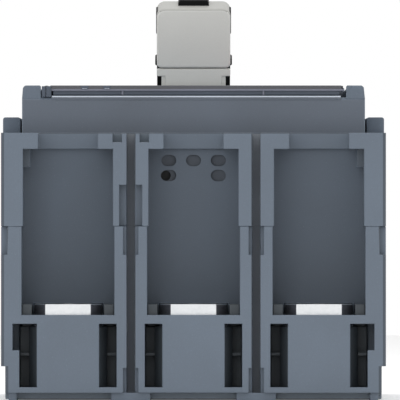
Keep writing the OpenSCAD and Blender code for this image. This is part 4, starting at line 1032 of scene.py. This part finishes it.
@dataclass
class TripUnit:
    """Face of the electronic trip unit."""

    finishes: Finishes
    face_z: float = 109.0
    dial_y: float = -60.25
    dial_x: Triple = (-34.0, -14.0, 6.0)
    ticks: int = 11
    tick_start: float = 5.7
    tick_half: float = 0.14
    first_tick_deg: float = 225.0
    tick_step_deg: float = 27.0
    pane_low: Pair = (22.4, -66.85)
    pane_high: Pair = (41.6, -53.65)
    lamp_x: Triple = (24.5, 28.0, 31.5)
    lamp_y: float = -49.6

    def dial_scale(self, number: int, x: float) -> None:
        """Prints the tick marks round one dial.

        Args:
            number: the dial's number.
            x: its middle.
        """
        shape = bmesh.new()
        for k in range(self.ticks):
            reach = 1.3 if k % 5 == 0 else 0.8
            tick = MeshMaker.block((self.tick_start, -self.tick_half, self.face_z - 0.05),
                                   (self.tick_start + reach, self.tick_half, self.face_z + 0.04), 0.03, 1)
            turn = Matrix.Rotation(math.radians(self.first_tick_deg - self.tick_step_deg * k), 4, "Z")
            move = Matrix.Translation(Vector((x, self.dial_y, 0)) * MM)
            bmesh.ops.transform(tick, matrix=move @ turn, verts=tick.verts)
            holder = bpy.data.meshes.new("tick")
            tick.to_mesh(holder)
            tick.free()
            shape.from_mesh(holder)
            bpy.data.meshes.remove(holder)
        add_piece(f"dial_scale_{number}", shape, self.finishes.white)

    def build(self) -> None:
        """Builds the face, the dials and the display."""
        look, face = self.finishes, self.face_z
        soft_piece("trip_unit_face", "trip_unit_lid", 0.2, look.bezel, "bezel")
        for number, (x, dial) in enumerate(zip(self.dial_x, (Body.DIAL_1, Body.DIAL_2, Body.DIAL_3)), 1):
            soft_piece(f"dial_knob_{number}", dial.value, 0.2, look.dial, "cap", dial, shortest=0.3)
            self.dial_scale(number, x)
        pane = MeshMaker.block((*self.pane_low, face - 1.3), (*self.pane_high, face - 0.7), 0.2)
        add_piece("display_pane", pane, look.glass)
        for number, x in enumerate(self.lamp_x, 1):
            lamp = MeshMaker.washer((x, self.lamp_y), 1.0, 0.01, Axis.Z, face - 0.1, face + 0.25)
            add_piece(f"status_lamp_{number}", lamp, look.red if number == 1 else look.white)
        dress(look.black, "trip_unit_case")
        dress(look.board, "circuit_board")
        dress(look.copper, "release_solenoid")
        dress(look.zinc, "release_plunger")
        dress(look.bezel, *(f"current_transformer_{pole}" for pole in POLES))


@dataclass
class Mechanism:
    """Links, rotor and arc chambers inside the housing."""

    finishes: Finishes
    button_top_z: float = 113.35
    spring_foot: Triple = (17.9, -24.0, 107.93)
    spring_keep: float = 0.3

    def button(self) -> None:
        """Builds the trip button, and its return spring."""
        shape = MeshMaker.soften("trip_button", 0.25, 0.2)
        for vert in shape.verts:
            vert.co.z = min(vert.co.z, self.button_top_z * MM)
        add_piece("trip_button_cap", shape, self.finishes.red, Body.BUTTON, "trip_button")
        spring = add_piece("trip_button_spring", MeshMaker.from_cad("button_spring"), self.finishes.zinc,
                           replaces="button_spring")
        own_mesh(spring)

    def build(self) -> None:
        """Dresses the inner pieces and builds the trip button."""
        look = self.finishes
        dress(look.zinc, "side_plate_left", "side_plate_right", "frame_spacers", "cradle", "cradle_pin",
              "upper_links", "lower_links", "knee_pin", "latch", "rotor_rods")
        dress(look.black, "trip_bar")
        dress(look.silver, "moving_contact_tips", "fixed_contact_tips")
        for pole in POLES:
            dress(look.black, f"rotor_drum_{pole}")
            dress(look.copper, f"contact_bridge_{pole}")
            dress(look.steel, f"arc_plates_{pole}")
            dress(look.insulation, f"pole_cheeks_{pole}")
        self.button()


@dataclass
class Studio:
    """Pale floor, soft light and the long lens that the photograph calls for."""

    middle_x: float = 2.34
    middle_z: float = 72.2
    scale_y: float = -95.0
    field_mm: float = 144.0
    lens_mm: float = 1600.0
    sensor_mm: float = 36.0
    sky: float = 0.73

    def world(self) -> None:
        """Lights the object evenly, and shows white where nothing is hit."""
        made = bpy.data.worlds.new("studio_world")
        made.use_nodes = True
        made.node_tree.nodes.clear()
        wiring = Wiring(made.node_tree)
        path = wiring.add("ShaderNodeLightPath").outputs
        bent = wiring.math("ADD", path["Is Glossy Ray"], path["Is Transmission Ray"])
        seen = wiring.math("MINIMUM", wiring.math("ADD", path["Is Camera Ray"], bent), 1.0)
        back = wiring.add("ShaderNodeBackground",
                          {"Color": WHITE, "Strength": wiring.ramp(seen, 0.0, 1.0, self.sky, 1.0)})
        wiring.add("ShaderNodeOutputWorld", {"Surface": back.outputs[0]})
        bpy.context.scene.world = made

    def floor(self) -> None:
        """Lays a pale floor that keeps the object's shadow."""
        shape = bmesh.new()
        bmesh.ops.create_grid(shape, x_segments=1, y_segments=1, size=3.0,
                              matrix=Matrix.Translation((0, 0, -0.0001)))
        material, wiring, shader = start_material("pale_floor")
        cloud = wiring.noise(Scale=3.0)
        seen = wiring.add("ShaderNodeLightPath").outputs["Is Camera Ray"]
        wiring.fill(shader, {"Base Color": wiring.blend(cloud, linear(247, 247, 247), linear(250, 250, 250)),
                             "Roughness": 0.8, "Emission Color": WHITE,
                             "Emission Strength": wiring.math("MULTIPLY", seen, 0.12)})
        MeshMaker.finish("studio_floor", shape, material)

    def lamp(self, name: str, place: Triple, size: float, power: float) -> None:
        """Hangs one soft lamp that points at the object, and that shiny pieces don't mirror.

        Args:
            name: the lamp's name.
            place: where it hangs, in metres.
            size: its width in metres.
            power: its power in watts.
        """
        light = bpy.data.lights.new(name, "AREA")
        light.shape, light.size, light.energy = "SQUARE", size, power
        made = bpy.data.objects.new(name, light)
        bpy.context.scene.collection.objects.link(made)
        made.location = place
        aim = Vector((0, 0, 0.07)) - Vector(place)
        made.rotation_euler = aim.to_track_quat("-Z", "Y").to_euler()
        made.visible_camera = made.visible_glossy = False

    def camera(self) -> None:
        """Places the camera square to the load end."""
        data = bpy.data.cameras.new("studio_camera")
        data.type, data.lens, data.sensor_width = "PERSP", self.lens_mm, self.sensor_mm
        distance = self.field_mm * MM * self.lens_mm / self.sensor_mm
        data.clip_start, data.clip_end = 0.1, 100.0
        made = bpy.data.objects.new("studio_camera", data)
        bpy.context.scene.collection.objects.link(made)
        made.location = (self.middle_x * MM, self.scale_y * MM - distance, self.middle_z * MM)
        made.rotation_euler = (math.radians(90), 0.0, 0.0)
        bpy.context.scene.camera = made

    def build(self) -> None:
        """Builds the studio."""
        self.world()
        self.floor()
        self.lamp("top_lamp", (0.1, 0.0, 2.4), 1.2, 24.0)
        self.lamp("front_lamp", (-0.5, -3.0, 0.6), 1.4, 14.0)
        self.camera()
        bpy.context.scene.view_settings.view_transform = "Standard"


def main() -> None:
    """Builds the studio and every sub-assembly in order."""
    logging.basicConfig(level=logging.INFO, format="%(message)s")
    finishes = Finishes()
    Studio().build()
    for kind in (Housing, Handle, Flap, Terminals, TripUnit, Mechanism):
        kind(finishes).build()
        LOG.info("%s done", kind.__name__)


if __name__ == "__main__":
    main()
